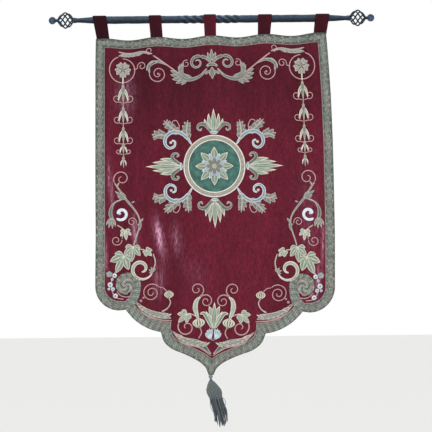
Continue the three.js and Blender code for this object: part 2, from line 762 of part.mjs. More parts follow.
// Rod, in one bar
function rodBar() {
  const stations = [];
  [...ROD_TAPER].reverse().forEach(({ x, radius }) => stations.push({ x: -x, radius, ridge: 0 }));
  for (let i = 0; i <= TWIST_STEPS; i += 1) {
    const part = i / TWIST_STEPS;
    const ridge = TWIST_RIDGE * Math.min(1, 8 * part, 8 * (1 - part));
    stations.push({ x: TWIST_FROM + (TWIST_TO - TWIST_FROM) * part, radius: ROD_RADIUS, ridge });
  }
  ROD_TAPER.forEach(({ x, radius }) => stations.push({ x, radius, ridge: 0 }));
  return loft(stations.map(({ x, radius, ridge }) => {
    const along = Math.min(Math.max(x, TWIST_FROM), TWIST_TO) - TWIST_FROM;
    const turn = (2 * Math.PI * TWIST_TURNS * along) / (TWIST_TO - TWIST_FROM) + Math.PI / ROD_SIDES;
    const ring = [];
    for (let j = 0; j < ROD_SIDES; j += 1) {
      const angle = (2 * Math.PI * j) / ROD_SIDES;
      const reach = radius + ridge * Math.cos(TWIST_RIDGES * angle);
      ring.push([x, reach * Math.cos(angle + turn), reach * Math.sin(angle + turn)]);
    }
    return ring;
  }));
}

// A turned shape about the rod's line, from rows of x and radius, its end on the +X side
function turnedX(rows, sides) {
  const profile = [
    new THREE.Vector2(0, rows[0][0]),
    ...rows.map(([x, radius]) => new THREE.Vector2(radius, x)),
    new THREE.Vector2(0, rows[rows.length - 1][0]),
  ];
  return new THREE.LatheGeometry(profile, sides).rotateZ(-Math.PI / 2);
}

function onSide(geometry, side) {
  return side > 0 ? geometry : geometry.rotateY(Math.PI);
}

function wire(index) {
  const rings = [];
  const from = CAGE_FROM + HUB_LENGTH * 0.4;
  const to = CAGE_TO - HUB_LENGTH * 0.4;
  const phase = (2 * Math.PI * index) / CAGE_WIRES;
  const place = (part) => {
    const angle = phase + CAGE_TURN * part;
    const reach = CAGE_NECK * 0.7 + (CAGE_RADIUS - CAGE_NECK * 0.7) * Math.sin(Math.PI * part) ** 0.8;
    return new THREE.Vector3(from + (to - from) * part, reach * Math.cos(angle), reach * Math.sin(angle));
  };
  for (let i = 0; i <= WIRE_STEPS; i += 1) {
    const part = 0.5 - 0.5 * Math.cos((Math.PI * i) / WIRE_STEPS);
    const centre = place(part);
    const along = place(Math.min(1, part + 0.01)).sub(place(Math.max(0, part - 0.01))).normalize();
    const outwards = new THREE.Vector3(0, centre.y, centre.z).normalize();
    const across = new THREE.Vector3().crossVectors(along, outwards).normalize();
    const lift = new THREE.Vector3().crossVectors(across, along);
    const ring = [];
    for (let j = 0; j < WIRE_SIDES; j += 1) {
      const angle = (2 * Math.PI * j) / WIRE_SIDES;
      const point = centre.clone();
      point.addScaledVector(lift, WIRE_RADIUS * Math.cos(angle));
      point.addScaledVector(across, WIRE_RADIUS * Math.sin(angle));
      ring.push(point.toArray());
    }
    rings.push(ring);
  }
  return loft(rings);
}

function cage(side) {
  const hubs = [
    turnedX([[CAGE_FROM, HUB_RADIUS], [CAGE_FROM + HUB_LENGTH, CAGE_NECK]], 10),
    turnedX([[CAGE_TO - HUB_LENGTH, CAGE_NECK], [CAGE_TO, CAGE_NECK + 1.5]], 10),
  ];
  const wires = Array.from({ length: CAGE_WIRES }, (_, index) => wire(index));
  const { points, triangles } = fromSolid(joined([...hubs, ...wires].map(toSolid)));
  return onSide(geometryFrom(points, triangles), side);
}

function ball(side) {
  const rows = [[CAGE_TO + GAP, BALL_NECK]];
  const start = Math.PI - Math.asin(BALL_NECK / BALL_RADIUS);
  const steps = 6;
  for (let i = 0; i < steps; i += 1) {
    const angle = start * (1 - i / steps);
    rows.push([BALL_AT + BALL_RADIUS * Math.cos(angle), BALL_RADIUS * Math.sin(angle)]);
  }
  rows.push([BALL_AT + BALL_RADIUS, 0.8]);
  return onSide(turnedX(rows, 12), side);
}

// Tab: a strip looped over the rod, its legs drawn together and sewn behind the panel's top edge
function tab({ seat, topX, topWidth, endX, endWidth, edgeZ }) {
  const outerRadius = seat + TAB_THICK;
  const tailZ = edgeZ - TAB_TAIL;
  const tailHalf = TAB_THICK;
  const loop = (radius, half, endZ) => {
    const points = [];
    for (let i = 0; i <= TAB_STEPS; i += 1) {
      const angle = -TAB_LAP + ((Math.PI + 2 * TAB_LAP) * i) / TAB_STEPS;
      points.push([radius * Math.cos(angle), radius * Math.sin(angle)]);
    }
    const left = [[-half * 2.4 + TAB_TAIL_Y, edgeZ * 0.72], [-half + TAB_TAIL_Y, endZ]];
    const right = [[half + TAB_TAIL_Y, endZ], [half * 2.4 + TAB_TAIL_Y, edgeZ * 0.72]];
    return [...points, ...left, ...right];
  };
  const outer = loop(outerRadius, tailHalf, edgeZ + 2);
  const tail = [[-tailHalf + TAB_TAIL_Y, tailZ], [tailHalf + TAB_TAIL_Y, tailZ]];
  outer.splice(outer.length - 2, 0, ...tail);
  const inner = loop(seat, 0.35, edgeZ * 0.86);
  const shape = new THREE.Shape(outer.map(([y, z]) => new THREE.Vector2(y, z)));
  shape.holes.push(new THREE.Path(inner.map(([y, z]) => new THREE.Vector2(y, z))));
  const solid = toSolid(new THREE.ExtrudeGeometry(shape, { depth: 1, bevelEnabled: false }));
  const { points, triangles } = fromSolid(solid);
  const placed = points.map(([y, z, across]) => {
    const part = (outerRadius - z) / (outerRadius - tailZ);
    const width = topWidth + (endWidth - topWidth) * part;
    return [topX + (endX - topX) * part + (across - 0.5) * width, y, z];
  });
  return geometryFrom(placed, triangles);
}

// Tassel
const TASSEL_Y = hang(0, POINT.t, -PANEL_THICK / 2)[1];

function leaning(rows, sides) {
  return loft(rows.map(({ z, radius }) => {
    const ring = [];
    for (let j = 0; j < sides; j += 1) {
      const angle = (-2 * Math.PI * j) / sides;
      const x = between(TASSEL_AXIS, 'z', z, 'x') + radius * Math.cos(angle);
      ring.push([x, TASSEL_Y + radius * Math.sin(angle), z]);
    }
    return ring;
  }));
}

function strand({ radius, count, tipZ }, index) {
  const around = (2 * Math.PI * (index + (radius > 10 ? 0.5 : 0))) / count;
  const uneven = 7 * Math.sin(index * 2.4 + radius);
  const tip = tipZ + uneven;
  const rings = [];
  for (let i = 0; i <= STRAND_STEPS; i += 1) {
    const part = i / STRAND_STEPS;
    const z = STRAND_ROOT_Z + (tip - STRAND_ROOT_Z) * part;
    const spread = radius * (1 + 0.1 * part * Math.sin(index * 1.7));
    const x = between(TASSEL_AXIS, 'z', z, 'x') + spread * Math.cos(around) + 0.5 * Math.sin(part * 5 + index);
    const y = TASSEL_Y + spread * Math.sin(around);
    const size = STRAND_SIZE * (i === STRAND_STEPS ? 0.6 : 1);
    const ring = [];
    for (let j = 0; j < STRAND_SIDES; j += 1) {
      const angle = around - (2 * Math.PI * j) / STRAND_SIDES;
      ring.push([x + size * Math.cos(angle), y + size * Math.sin(angle), z]);
    }
    rings.push(ring);
  }
  return loft(rings);
}

function tassel() {
  const strands = STRAND_RINGS.flatMap((row) => Array.from({ length: row.count }, (_, index) => strand(row, index)));
  const { points, triangles } = fromSolid(joined([leaning(HEAD, HEAD_SIDES), ...strands].map(toSolid)));
  return geometryFrom(points, triangles);
}

// Assembly
const banner = new THREE.Group();

function add(name, geometry, material) {
  const mesh = new THREE.Mesh(geometry, material);
  mesh.name = name;
  banner.add(mesh);
}

const SIDES = [
  { side: -1, word: 'left' },
  { side: 1, word: 'right' },
];
const stitched = (outlines, side) => appliedPiece(outlines, STITCH_LOW, STITCH_HIGH, side);
const banded = (outlines, side) => appliedPiece(outlines, BAND_LOW, BAND_HIGH, side);

add('rod_bar', rodBar(), FORGED_IRON);
TABS.forEach((row) => add(row.name, tab(row), TAB_VELVET));
add('velvet_panel', velvetPanel(), PANEL_VELVET);
add('border_top', topBand(), METAL_BAND);
add('border_point', banded(pointBand, 1), METAL_BAND);
SIDES.forEach(({ side, word }) => {
  add(`finial_cage_${word}`, cage(side), FORGED_IRON);
  add(`finial_ball_${word}`, ball(side), FORGED_IRON);
  add(`border_${word}`, sideBand(side), METAL_BAND);
  add(`border_lobe_${word}`, banded(lobeBand, side), METAL_BAND);
  add(`border_swag_${word}`, banded(swagBand, side), METAL_BAND);
  add(`top_scroll_${word}`, stitched(topScroll, side), SILVER_THREAD);
  add(`corner_ring_${word}`, stitched(cornerRing, side), SILVER_THREAD);
  add(`husk_chain_${word}`, stitched(huskChain(), side), SILVER_THREAD);
  add(`side_vine_${word}`, stitched(sideVine, side), SILVER_THREAD);
  add(`corner_buds_${word}`, stitched(cornerBuds, side), SILVER_THREAD);
  add(`field_curl_${word}`, stitched(fieldCurl, side), SILVER_THREAD);
  add(`foot_spray_${word}`, stitched(footSpray, side), SILVER_THREAD);
  add(`lily_horn_${word}`, stitched(lilyHorn, side), SILVER_THREAD);
  add(`point_leaf_${word}`, stitched(pointLeaf, side), SILVER_THREAD);
  add(`medallion_side_${word}`, stitched(palmetteSide, side), CREAM_SILK);
  add(`medallion_upper_spray_${word}`, stitched(medallionSpray(1), side), BLUE_SILVER);
  add(`medallion_lower_spray_${word}`, stitched(medallionSpray(-1), side), BLUE_SILVER);
});
add('top_fleuron', stitched(topFleuron, 1), SILVER_THREAD);
add('foot_palmette', stitched(footPalmette, 1), CREAM_SILK);
add('medallion_ground', roundSheet([0, MEDALLION.ground / 2, MEDALLION.ground], STITCH_LOW, GROUND_HIGH), TEAL_CLOTH);
add('medallion_ring', roundSheet([MEDALLION.ringIn, MEDALLION.ringOut], STITCH_LOW, RING_HIGH), SILVER_THREAD);
add('medallion_rosette', appliedPiece(rosette, ROSETTE_LOW, ROSETTE_HIGH, 1), CREAM_SILK);
add('medallion_upper_palmette', stitched(palmetteUp, 1), CREAM_SILK);
add('medallion_lower_palmette', stitched(palmetteDown, 1), CREAM_SILK);
add('tassel_knot', leaning(KNOT, 12), TASSEL_YARN);
add('tassel', tassel(), TASSEL_YARN);

export default banner;
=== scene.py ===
# The looks of a church banner on its hanging rod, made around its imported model.
# Tables are in millimetres of the flat cut: s across from the middle, t down from the rod's axis.
import math

import bmesh
import bpy
import numpy as np
from mathutils import Matrix, Vector


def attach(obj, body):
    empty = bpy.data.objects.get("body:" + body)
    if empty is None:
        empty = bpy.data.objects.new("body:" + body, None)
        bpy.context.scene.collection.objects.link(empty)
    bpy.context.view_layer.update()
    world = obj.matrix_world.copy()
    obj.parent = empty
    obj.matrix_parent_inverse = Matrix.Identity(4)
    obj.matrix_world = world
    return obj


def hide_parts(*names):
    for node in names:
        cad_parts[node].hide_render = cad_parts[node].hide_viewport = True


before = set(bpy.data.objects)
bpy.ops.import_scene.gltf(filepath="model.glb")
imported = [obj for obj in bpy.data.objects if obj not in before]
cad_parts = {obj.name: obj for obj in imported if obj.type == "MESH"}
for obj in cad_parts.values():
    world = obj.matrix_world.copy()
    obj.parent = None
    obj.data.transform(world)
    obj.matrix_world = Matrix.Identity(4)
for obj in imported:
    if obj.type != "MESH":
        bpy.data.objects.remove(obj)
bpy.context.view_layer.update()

MM = 0.001
RANDOM = np.random.default_rng(7)

# Flat cut
HALF_WIDTH = 384
TOP = 52
SIDE_END = 855
CORNER_RADIUS = 80
PANEL_THICK = 2
BAND_WIDTH = 31
FIRST_CUSP = (283, 932)
SECOND_CUSP = (168, 1003)
POINT = (8, 1137)
SWAG_RADIUS = 168
VOLUTE = (283, 853)

# How the cloth hangs
TAB_PITCH = 180
PANEL_FRONT = -4.5
TOP_BULGE = 22
BULGE_FADE = 150
TOP_SAG = 11
SAG_FADE = 110
FOLD_DEPTH = 2.4
FOLD_RISE = 300
FOLD_PITCH = 420
SIDE_CURL = 5
SKEW_TOP = 7
SKEW_LOSS = 0.01655
TOP_GATHER = 0.0424
GATHER_FADE = 260
DRIFT_T = [52, 250, 400, 690, 860, 1000, 1137]
DRIFT_X = [-2.3, 3, 4.8, 5.9, 3.8, -3, -12]

# Rod and finials
ROD_RADIUS = 12.2
ROD_TAPER = [(0, 12.2), (345, 12.2), (382, 10.3), (428, 7.2), (439.7, 9)]
ROD_STATIONS = 420
TWIST_FROM = -110
TWIST_TO = 101
TWIST_TURNS = 2
TWIST_RIDGE = 1.2
CAGE_FROM = 440
CAGE_TO = 493
CAGE_RADIUS = 25.4
CAGE_WIRES = 6
WIRE_RADIUS = 2.4
# How much darker the cage's wires are dyed than the bar
WIRE_DARKENING = 0.4
BALL_AT = 509
BALL_RADIUS = 12

SIDES = ((-1, "left"), (1, "right"))


def table(keys, *rows):
    """Rows of a table, each with its values under the given names."""
    return [dict(zip(keys.split(), row)) for row in rows]


# Tabs: the radius at the rod, then places and widths at the rod and at the panel's edge
TABS = table("name seat top_x top_w end_x end_w edge",
             ("tab_1", 12.8, -358.8, 43.8, -344.9, 40.3, -57.6),
             ("tab_2", 12.8, -181.3, 39.7, -175, 39, -51.2),
             ("tab_3", 14.1, -5.6, 40.3, -3.7, 36, -52),
             ("tab_4", 12.8, 171.4, 45, 166.4, 38.5, -50),
             ("tab_5", 12.8, 355.4, 45, 344.2, 40.3, -48.3))
TAB_TAIL = 18
TAB_HALF_THICK = 0.95
TAB_STANDOFF = 1.05

# Tassel
TASSEL_Z = [-1304, -1250, -1228, -1201, -1180, -1150, -1137]
TASSEL_X = [21, 14, 7, 0, -4.5, -13, -13]

# View
VIEW_X = 8.7
VIEW_Z = -629.6
VIEW_WIDTH = 1382
VIEW_ROLL = 0.00908
CAMERA_FAR = 6000
SENSOR = 36


# Colours, each dye as a shade and a light
def linear(red, green, blue):
    """A screen colour of 0 to 255 as the light values that shaders take."""
    return tuple(((value / 255 + 0.055) / 1.055) ** 2.4 for value in (red, green, blue))


SILVER = linear(176, 168, 160)
SILVER_SHADE = linear(52, 78, 68)
CREAM = linear(222, 216, 202)
CREAM_SHADE = linear(78, 110, 90)
BLUE = linear(220, 226, 234)
BLUE_SHADE = linear(84, 118, 130)
CORD = linear(178, 140, 140)
CORD_SHADE = linear(150, 112, 112)
TEAL = linear(60, 116, 104)
TEAL_SHADE = linear(28, 66, 62)
BAND_PALE = linear(176, 176, 164)
BAND_DARK = linear(26, 38, 34)
BAND_EDGE = linear(150, 132, 134)

IRON = linear(50, 68, 86)
# One velvet for all tabs, each dyed lighter or darker as painted light and shade
TAB_REDS_PAINTED_LIGHT = [linear(*red) for red in ((34, 4, 12), (46, 8, 18), (66, 14, 27), (52, 9, 20), (50, 9, 20))]
YARN = linear(82, 90, 96)
YARN_HEAD = linear(112, 118, 116)

SILVER_DYE = (SILVER_SHADE, SILVER)
CREAM_DYE = (CREAM_SHADE, CREAM)
BLUE_DYE = (BLUE_SHADE, BLUE)
CORD_DYE = (CORD_SHADE, CORD)
TEAL_DYE = (TEAL_SHADE, TEAL)
LEAF_DYE = (SILVER_SHADE, (np.array(CREAM) + SILVER) / 2)
MELON_DYE = (np.array(CREAM_SHADE) * 0.6, np.array(CREAM_SHADE) * 0.8)


# Lines, angles and directions
def unit(rows):
    """The rows scaled to length 1."""
    return rows / np.maximum(np.linalg.norm(rows, axis=1, keepdims=True), 1e-9)


def lengths_along(line):
    """The length of a line from its start to each of its points."""
    return np.concatenate([[0], np.cumsum(np.linalg.norm(np.diff(line, axis=0), axis=1))])


def round_angles(sides):
    return np.linspace(0, 2 * math.pi, sides, endpoint=False)


def turned(way, degrees):
    """A direction of s, t turned by an angle."""
    turn = math.radians(degrees)
    return np.array([way[0] * math.cos(turn) - way[1] * math.sin(turn),
                     way[0] * math.sin(turn) + way[1] * math.cos(turn)])


def polar(middle, reach, degrees):
    """The place at a reach from a middle, degrees from outwards towards up."""
    turn = math.radians(degrees)
    return (middle[0] + reach * math.cos(turn), middle[1] - reach * math.sin(turn))


# Hung cloth
def hang(s, t, h):
    """The hung place, in metres, of points of the flat cut, h above the panel's front face."""
    s, t, h = (np.asarray(value, float) for value in (s, t, h))
    depth = t - TOP
    wave = 0.5 - 0.5 * np.cos(2 * math.pi * s / TAB_PITCH)
    bulge = TOP_BULGE * wave * np.exp(-depth / BULGE_FADE)
    ease = 1 - np.exp(-depth / FOLD_RISE)
    fold = FOLD_DEPTH * ease * np.sin(2 * math.pi * s / FOLD_PITCH + 0.6 + t / 900)
    curl = SIDE_CURL * ease * (np.abs(s) / HALF_WIDTH) ** 8
    sag = TOP_SAG * wave * np.exp(-depth / SAG_FADE)
    skew = s / HALF_WIDTH * (SKEW_TOP - SKEW_LOSS * depth)
    x = np.interp(t, DRIFT_T, DRIFT_X) + s * (1 - TOP_GATHER * np.exp(-depth / GATHER_FADE))
    y = PANEL_FRONT - bulge - fold + curl - h
    z = -t - sag + skew
    return np.stack([x, y, z], axis=-1) * MM


# Meshes gathered from grids of points
class Gathered:
    """Points, faces, colours and thread directions of one piece, before it becomes an object."""

    def __init__(self, side=1):
        self.side = side
        self.points = []
        self.faces = []
        self.dyes = []
        self.threads = []
        self.count = 0

    def take(self, points, faces, dyes, threads):
        flip = self.side < 0
        self.points.append(points)
        self.dyes.append(dyes)
        self.threads.append(threads)
        for face in faces:
            placed = [self.count + int(index) for index in face]
            self.faces.append(placed[::-1] if flip else placed)
        self.count += len(points)

    def shell(self, top, bottom, dyes, threads, placed=False):
        """A closed shell between two grids, of s, t, h or, where they are placed already, of metres."""
        rows, wide = top.shape[:2]
        narrow = bottom.shape[1]
        base = rows * wide
        faces = grid_faces(rows, wide, 0, False) + grid_faces(rows, narrow, base, True)
        for i in range(rows - 1):
            a, b = i * wide, (i + 1) * wide
            c, d = base + i * narrow, base + (i + 1) * narrow
            faces.append([a, b, d, c])
            faces.append([b + wide - 1, a + wide - 1, c + narrow - 1, d + narrow - 1])
        last = (rows - 1) * wide
        low = base + (rows - 1) * narrow
        if wide == narrow:
            for j in range(wide - 1):
                faces.append([j + 1, j, base + j, base + j + 1])
                faces.append([last + j, last + j + 1, low + j + 1, low + j])
        else:
            faces.append([*range(wide - 1, -1, -1), *range(base, base + narrow)])
            faces.append([*range(last, last + wide), *range(low + narrow - 1, low - 1, -1)])
        flat = np.concatenate([top.reshape(-1, 3), bottom.reshape(-1, 3)])
        points = flat if placed else hang(self.side * flat[:, 0], flat[:, 1], flat[:, 2])
        looks = []
        for grid, width in ((dyes, 3), (threads, 2)):
            under = grid if wide == narrow else np.repeat(grid[:, :1], narrow, axis=1)
            looks.append(np.concatenate([grid.reshape(-1, width), under.reshape(-1, width)]))
        self.take(points, faces, *looks)

    def tube(self, rings, dye, lengths=None, wear_and_painted_shade=None):
        """A closed tube through rings of points in metres, an array of ring, side and place."""
        count, sides = rings.shape[:2]
        faces = []
        for i in range(count - 1):
            a, b = i * sides, (i + 1) * sides
            for j in range(sides):
                k = (j + 1) % sides
                faces.append([a + j, a + k, b + k, b + j])
        faces.append(list(range(sides - 1, -1, -1)))
        faces.append([(count - 1) * sides + j for j in range(sides)])
        along = np.arange(count) * MM if lengths is None else lengths
        threads = np.dstack(np.broadcast_arrays(along[:, None], np.arange(sides) * MM)).reshape(-1, 2)
        dyes = np.broadcast_to(np.asarray(dye, float), (count * sides, 3))
        if wear_and_painted_shade is not None:
            dyes = dyes * wear_and_painted_shade.reshape(-1, 1)
        self.take(rings.reshape(-1, 3), faces, dyes, threads)

    def to_object(self, name, material, slot, nodes):
        mesh = bpy.data.meshes.new(name)
        points = np.concatenate(self.points)
        mesh.from_pydata(points.tolist(), [], self.faces)
        dyes = np.concatenate(self.dyes)
        colours = mesh.color_attributes.new("dye", "FLOAT_COLOR", "POINT")
        colours.data.foreach_set("color", np.column_stack([dyes, np.ones(len(dyes))]).ravel())
        corners = np.zeros(len(mesh.loops), np.int32)
        mesh.loops.foreach_get("vertex_index", corners)
        threads = mesh.uv_layers.new(name="thread")
        threads.data.foreach_set("uv", np.concatenate(self.threads)[corners].ravel())
        mesh.polygons.foreach_set("use_smooth", [True] * len(mesh.polygons))
        mesh.materials.append(material)
        mesh.update()
        turn_outwards(mesh)
        piece = add_object(name, mesh)
        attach(piece, "root")
        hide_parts(*nodes)
        return piece


def add_object(name, data):
    made = bpy.data.objects.new(name, data)
    bpy.context.scene.collection.objects.link(made)
    return made


def turn_outwards(mesh):
    shape = bmesh.new()
    shape.from_mesh(mesh)
    bmesh.ops.recalc_face_normals(shape, faces=shape.faces)
    shape.to_mesh(mesh)
    shape.free()


def grid_faces(rows, wide, start, flipped):
    faces = []
    for i in range(rows - 1):
        for j in range(wide - 1):
            a = start + i * wide + j
            quad = [a, a + 1, a + wide + 1, a + wide]
            faces.append(quad[::-1] if flipped else quad)
    return faces


def mix(dye, part):
    """Colours between a dye's shade and its light, for a grid of parts from 0 to 1."""
    shade, light = (np.array(colour) for colour in dye)
    part = np.clip(part, 0, 1)[..., None]
    return shade + (light - shade) * part


def smooth(rows, step):
    """A smooth curve through the rows, sampled about every step; all columns are carried along."""
    rows = np.array(rows, float)
    chords = np.linalg.norm(np.diff(rows[:, :2], axis=0), axis=1)
    knots = np.concatenate([[0], np.cumsum(np.sqrt(chords))])
    slopes = np.gradient(rows, knots, axis=0)
    count = max(3, int(round(chords.sum() / step)))
    at = np.linspace(0, knots[-1], count + 1)
    i = np.clip(np.searchsorted(knots, at, side="right") - 1, 0, len(knots) - 2)
    span = (knots[i + 1] - knots[i])[:, None]
    x = (at - knots[i])[:, None] / span
    start = (2 * x**3 - 3 * x**2 + 1) * rows[i] + (x**3 - 2 * x**2 + x) * span * slopes[i]
    end = (3 * x**2 - 2 * x**3) * rows[i + 1] + (x**3 - x**2) * span * slopes[i + 1]
    return start + end


def normals(line):
    along = unit(np.gradient(line, axis=0))
    return np.column_stack([-along[:, 1], along[:, 0]])


# Stitched elements, each a low padded mound on the cloth
GROUND = 0.1
UNDERSIDE = GROUND - 0.3
STITCH_STEP = 2.4
RIM = 1.9
# How dark the painted shadow along each strip's foot is
FOOT_SHADE = 0.22
ACROSS_MOUND = np.array([-1, -0.9, -0.62, -0.3, 0, 0.3, 0.62, 0.9, 1])


def mound(piece, line, half, rise, dye, groove=0.0, slant=0.0, lift=0.0, hollow=0.9):
    """A raised strip along a line of s, t: a pale rim, a hollow dyed darker (partly the thread's tarnish,
    partly painted shade) and a painted shadow along its foot.
    """
    v = ACROSS_MOUND
    off = normals(line)[:, None, :] * (half[:, None] * v)[:, :, None]
    place = line[:, None, :] + off
    full = np.minimum(1, (half / max(half.max(), 1e-6)) ** 0.5)[:, None]
    inwards = half[:, None] * (1 - np.abs(v))
    sunk = np.clip((inwards - RIM * 0.75) / RIM, 0, 1)
    dome = np.sqrt(np.maximum(0, 1 - np.abs(v) ** 4)) * (1 - 0.4 * hollow * sunk)
    dome = dome + groove * np.exp(-((v / 0.22) ** 2))
    height = GROUND + lift + rise * full * dome
    height[:, [0, -1]] = GROUND
    top = np.dstack([place, height])
    bottom = np.dstack([place[:, [0, -1]], np.full((len(line), 2), UNDERSIDE)])
    along = lengths_along(line)[:, None] + slant * np.abs(v) * half[:, None]
    # the sunken middle is dyed towards the shade colour, partly as tarnish and partly as painted shade
    part = 1 - hollow * sunk + groove * np.exp(-((v / 0.2) ** 2)) * sunk
    part = np.broadcast_to(part, along.shape).copy()
    dyes = mix(dye, part)
    # painted shadow: the strip's two outer edges are darkened into a thin dark outline
    dyes[:, [0, -1]] *= FOOT_SHADE
    threads = np.dstack([along, np.broadcast_to(v, along.shape) * half[:, None]]) * MM
    piece.shell(top, bottom, dyes, threads)


def stem(piece, rows, dye=SILVER_DYE, rise=2.2, **looks):
    """A stitched stem through rows of s, t, width, with rounded ends."""
    path = smooth(rows, STITCH_STEP)
    half = path[:, 2] / 2
    count = len(half)
    ends = np.minimum(np.arange(count), np.arange(count)[::-1]) * STITCH_STEP
    round_off = np.sqrt(np.clip(ends / np.maximum(half, 0.5), 0.03, 1))
    mound(piece, path[:, :2], np.maximum(half * round_off, 0.25), rise, dye, **looks)


def cord(piece, rows, dye=CORD_DYE):
    """A plain round cord through rows of s, t, width."""
    stem(piece, rows, dye, 1.8, hollow=0)


def spiral(s, t, outer, inner, start, sweep, wide, narrow):
    """Rows of a spiral: angles in degrees from outwards towards up."""
    steps = max(8, round(abs(sweep) / 18))
    part = np.linspace(0, 1, steps + 1)
    angle = np.radians(start + sweep * part)
    radius = outer + (inner - outer) * part
    width = wide + (narrow - wide) * part
    return np.column_stack([s + radius * np.cos(angle), t - radius * np.sin(angle), width])


def scroll(s, t, outer, inner, start, sweep, thin, full):
    """Rows of a spiral that swells to its full width half way and thins again."""
    rows = spiral(s, t, outer, inner, start, sweep, 1, 1)
    rows[:, 2] = thin + (full - thin) * np.sin(np.linspace(0, math.pi, len(rows)))
    return rows


def bead(piece, s, t, radius, dye, rise=3.5, ridges=0, lift=0.0):
    """A round padded button, with stitched ridges running out from its middle."""
    rings = 6
    sides = 20
    angles = round_angles(sides)
    ripple = np.cos(ridges * angles) if ridges else np.zeros(sides)
    flat_light = 0.6 if ridges else 1.0
    points = [[s, t, GROUND + lift + rise]]
    parts = [1.0]
    for i in range(1, rings + 1):
        part = i / rings
        height = (lift + rise) * math.sqrt(max(0.0, 1 - part**2.4))
        height = GROUND + height * (1 + 0.18 * ripple * math.sin(math.pi * part))
        reach = radius * part * (1 + 0.06 * ripple)
        points += np.column_stack([s + reach * np.sin(angles), t - reach * np.cos(angles), height]).tolist()
        parts += (0.35 + 0.65 * part * (flat_light + 0.4 * ripple)).tolist()
    points.append([s, t, UNDERSIDE])
    parts.append(0.5)
    flat = np.array(points)
    faces = []
    for j in range(sides):
        k = (j + 1) % sides
        faces.append([0, 1 + j, 1 + k])
        for i in range(rings - 1):
            a = 1 + i * sides
            faces.append([a + j, a + sides + j, a + sides + k, a + k])
        rim = 1 + (rings - 1) * sides
        faces.append([len(points) - 1, rim + k, rim + j])
    placed = hang(piece.side * flat[:, 0], flat[:, 1], flat[:, 2])
    threads = flat[:, :2] * MM
    piece.take(placed, [face[::-1] for face in faces], mix(dye, np.array(parts)), threads)


def petal(piece, base, tip, width, dye=SILVER_DYE, bow=0.0, rise=2.8, fullest=0.45, lift=0.0, groove=0.35):
    """A pointed padded petal, widest at a part of its length; bow bends it sideways."""
    base, tip = np.array(base, float), np.array(tip, float)
    run = tip - base
    length = np.linalg.norm(run)
    side = np.array([-run[1], run[0]]) / max(length, 1e-6)
    part = np.linspace(0, 1, max(8, int(length / 2) + 1))
    line = base + run * part[:, None] + side * (bow * np.sin(math.pi * part))[:, None]
    power = math.log(0.5) / math.log(fullest)
    half = width / 2 * np.maximum(np.sin(math.pi * part**power), 0) ** 0.85
    half = np.maximum(half, 0.35)
    mound(piece, line, half, rise, dye, groove=groove, slant=0.7, lift=lift)


def fan(piece, base, angle, spread, reach, width, count, shorter=0.3):
    """Petals spreading from a base around an angle (degrees from outwards towards up)."""
    order = sorted(range(count), key=lambda k: -abs(k - (count - 1) / 2))
    for k in order:
        off = (k - (count - 1) / 2) / max(1, (count - 1) / 2)
        tip = polar(base, reach * (1 - shorter * abs(off)), angle + spread / 2 * off)
        petal(piece, base, tip, width, bow=-2.5 * off, lift=0.5 * (1 - abs(off)))


def plume(piece, rows, left, right, count, lean, last=0.86):
    """A feathered leaf: a spine through rows, with long pointed lobes on its left and right."""
    first = 0.05
    path = smooth(rows, STITCH_STEP)
    line = path[:, :2]
    out = normals(line)
    along = unit(np.gradient(line, axis=0))
    pitch = lengths_along(line)[-1] * (last - first) / max(1, count - 1)
    for k in range(count):
        part = first + (last - first) * k / max(1, count - 1)
        at = int(part * (len(line) - 1))
        swell = 0.6 + 0.4 * math.sin(math.pi * min(1, 0.2 + part))
        for way, reach in ((1, left), (-1, right)):
            if reach:
                turn = math.radians(lean)
                way_out = along[at] * math.cos(turn) + out[at] * way * math.sin(turn)
                long = reach * swell / math.sin(turn)
                wide = min(1.3 * pitch, 0.5 * long)
                petal(piece, line[at], line[at] + way_out * long, wide, bow=way * -1.8, fullest=0.55)
    mound(piece, line, np.maximum(path[:, 2] / 2, 0.3), 3.2, SILVER_DYE, slant=0.7, lift=0.8, hollow=0.3)


# Border band
BAND_STEP = 1.6
BAND_COLUMNS = 21
LEAF_PERIOD = 27
RIB_PERIOD = 6.4


def curled_leaf(u, v, middle, height, way):
    """How much of one curl with its small leaves lies at u, v; the curl's middle is at middle, height."""
    du, dv = u - middle, (v - height) * way
    reach = np.hypot(du, dv)
    angle = np.arctan2(dv, du)
    turn = np.exp(-(((reach - 5.2 + 0.55 * angle) / 1.25) ** 2))
    eye = np.exp(-((reach / 1.7) ** 2))
    leaves = np.exp(-(((reach - 8.4) / 1.9) ** 2)) * np.clip(np.cos(4 * angle + 0.9), 0, 1) ** 0.7
    return np.maximum(np.maximum(turn, eye), leaves)


def leaf_repeat(u, v):
    """How much of the band's pale leaf scroll lies at u along and v across from its middle, 0 to 1."""
    place = np.mod(u, LEAF_PERIOD)
    total = np.zeros_like(u)
    for middle, way in ((0.25, 1), (0.75, -1), (1.25, 1), (-0.25, -1)):
        total = np.maximum(total, curled_leaf(place, v, LEAF_PERIOD * middle, -3.4 * way, way))
    vine = np.exp(-(((v - 7.6 * np.sin(2 * math.pi * u / LEAF_PERIOD)) / 1.2) ** 2))
    wear_and_painted_shade = 0.8 + 0.2 * np.sin(u / 13.7 + 1.4) * np.sin(u / 5.3)
    return np.clip(np.maximum(total, 0.9 * vine) * wear_and_painted_shade, 0, 1)


def ribs(u, v):
    """How pale the band's cross ribs are, with a finer mottle between them, 0 to 1."""
    wander = 1.3 * np.sin(u / 17) + 0.5 * np.sin(v / 3 + u / 7)
    even = np.sin(2 * math.pi * (u + 0.16 * v) / RIB_PERIOD + wander)
    return np.clip(0.45 + 0.26 * even + 0.42 * np.sin(u / 4.3 + v / 2.1) * np.sin(v / 2.7 - u / 11), 0, 1)


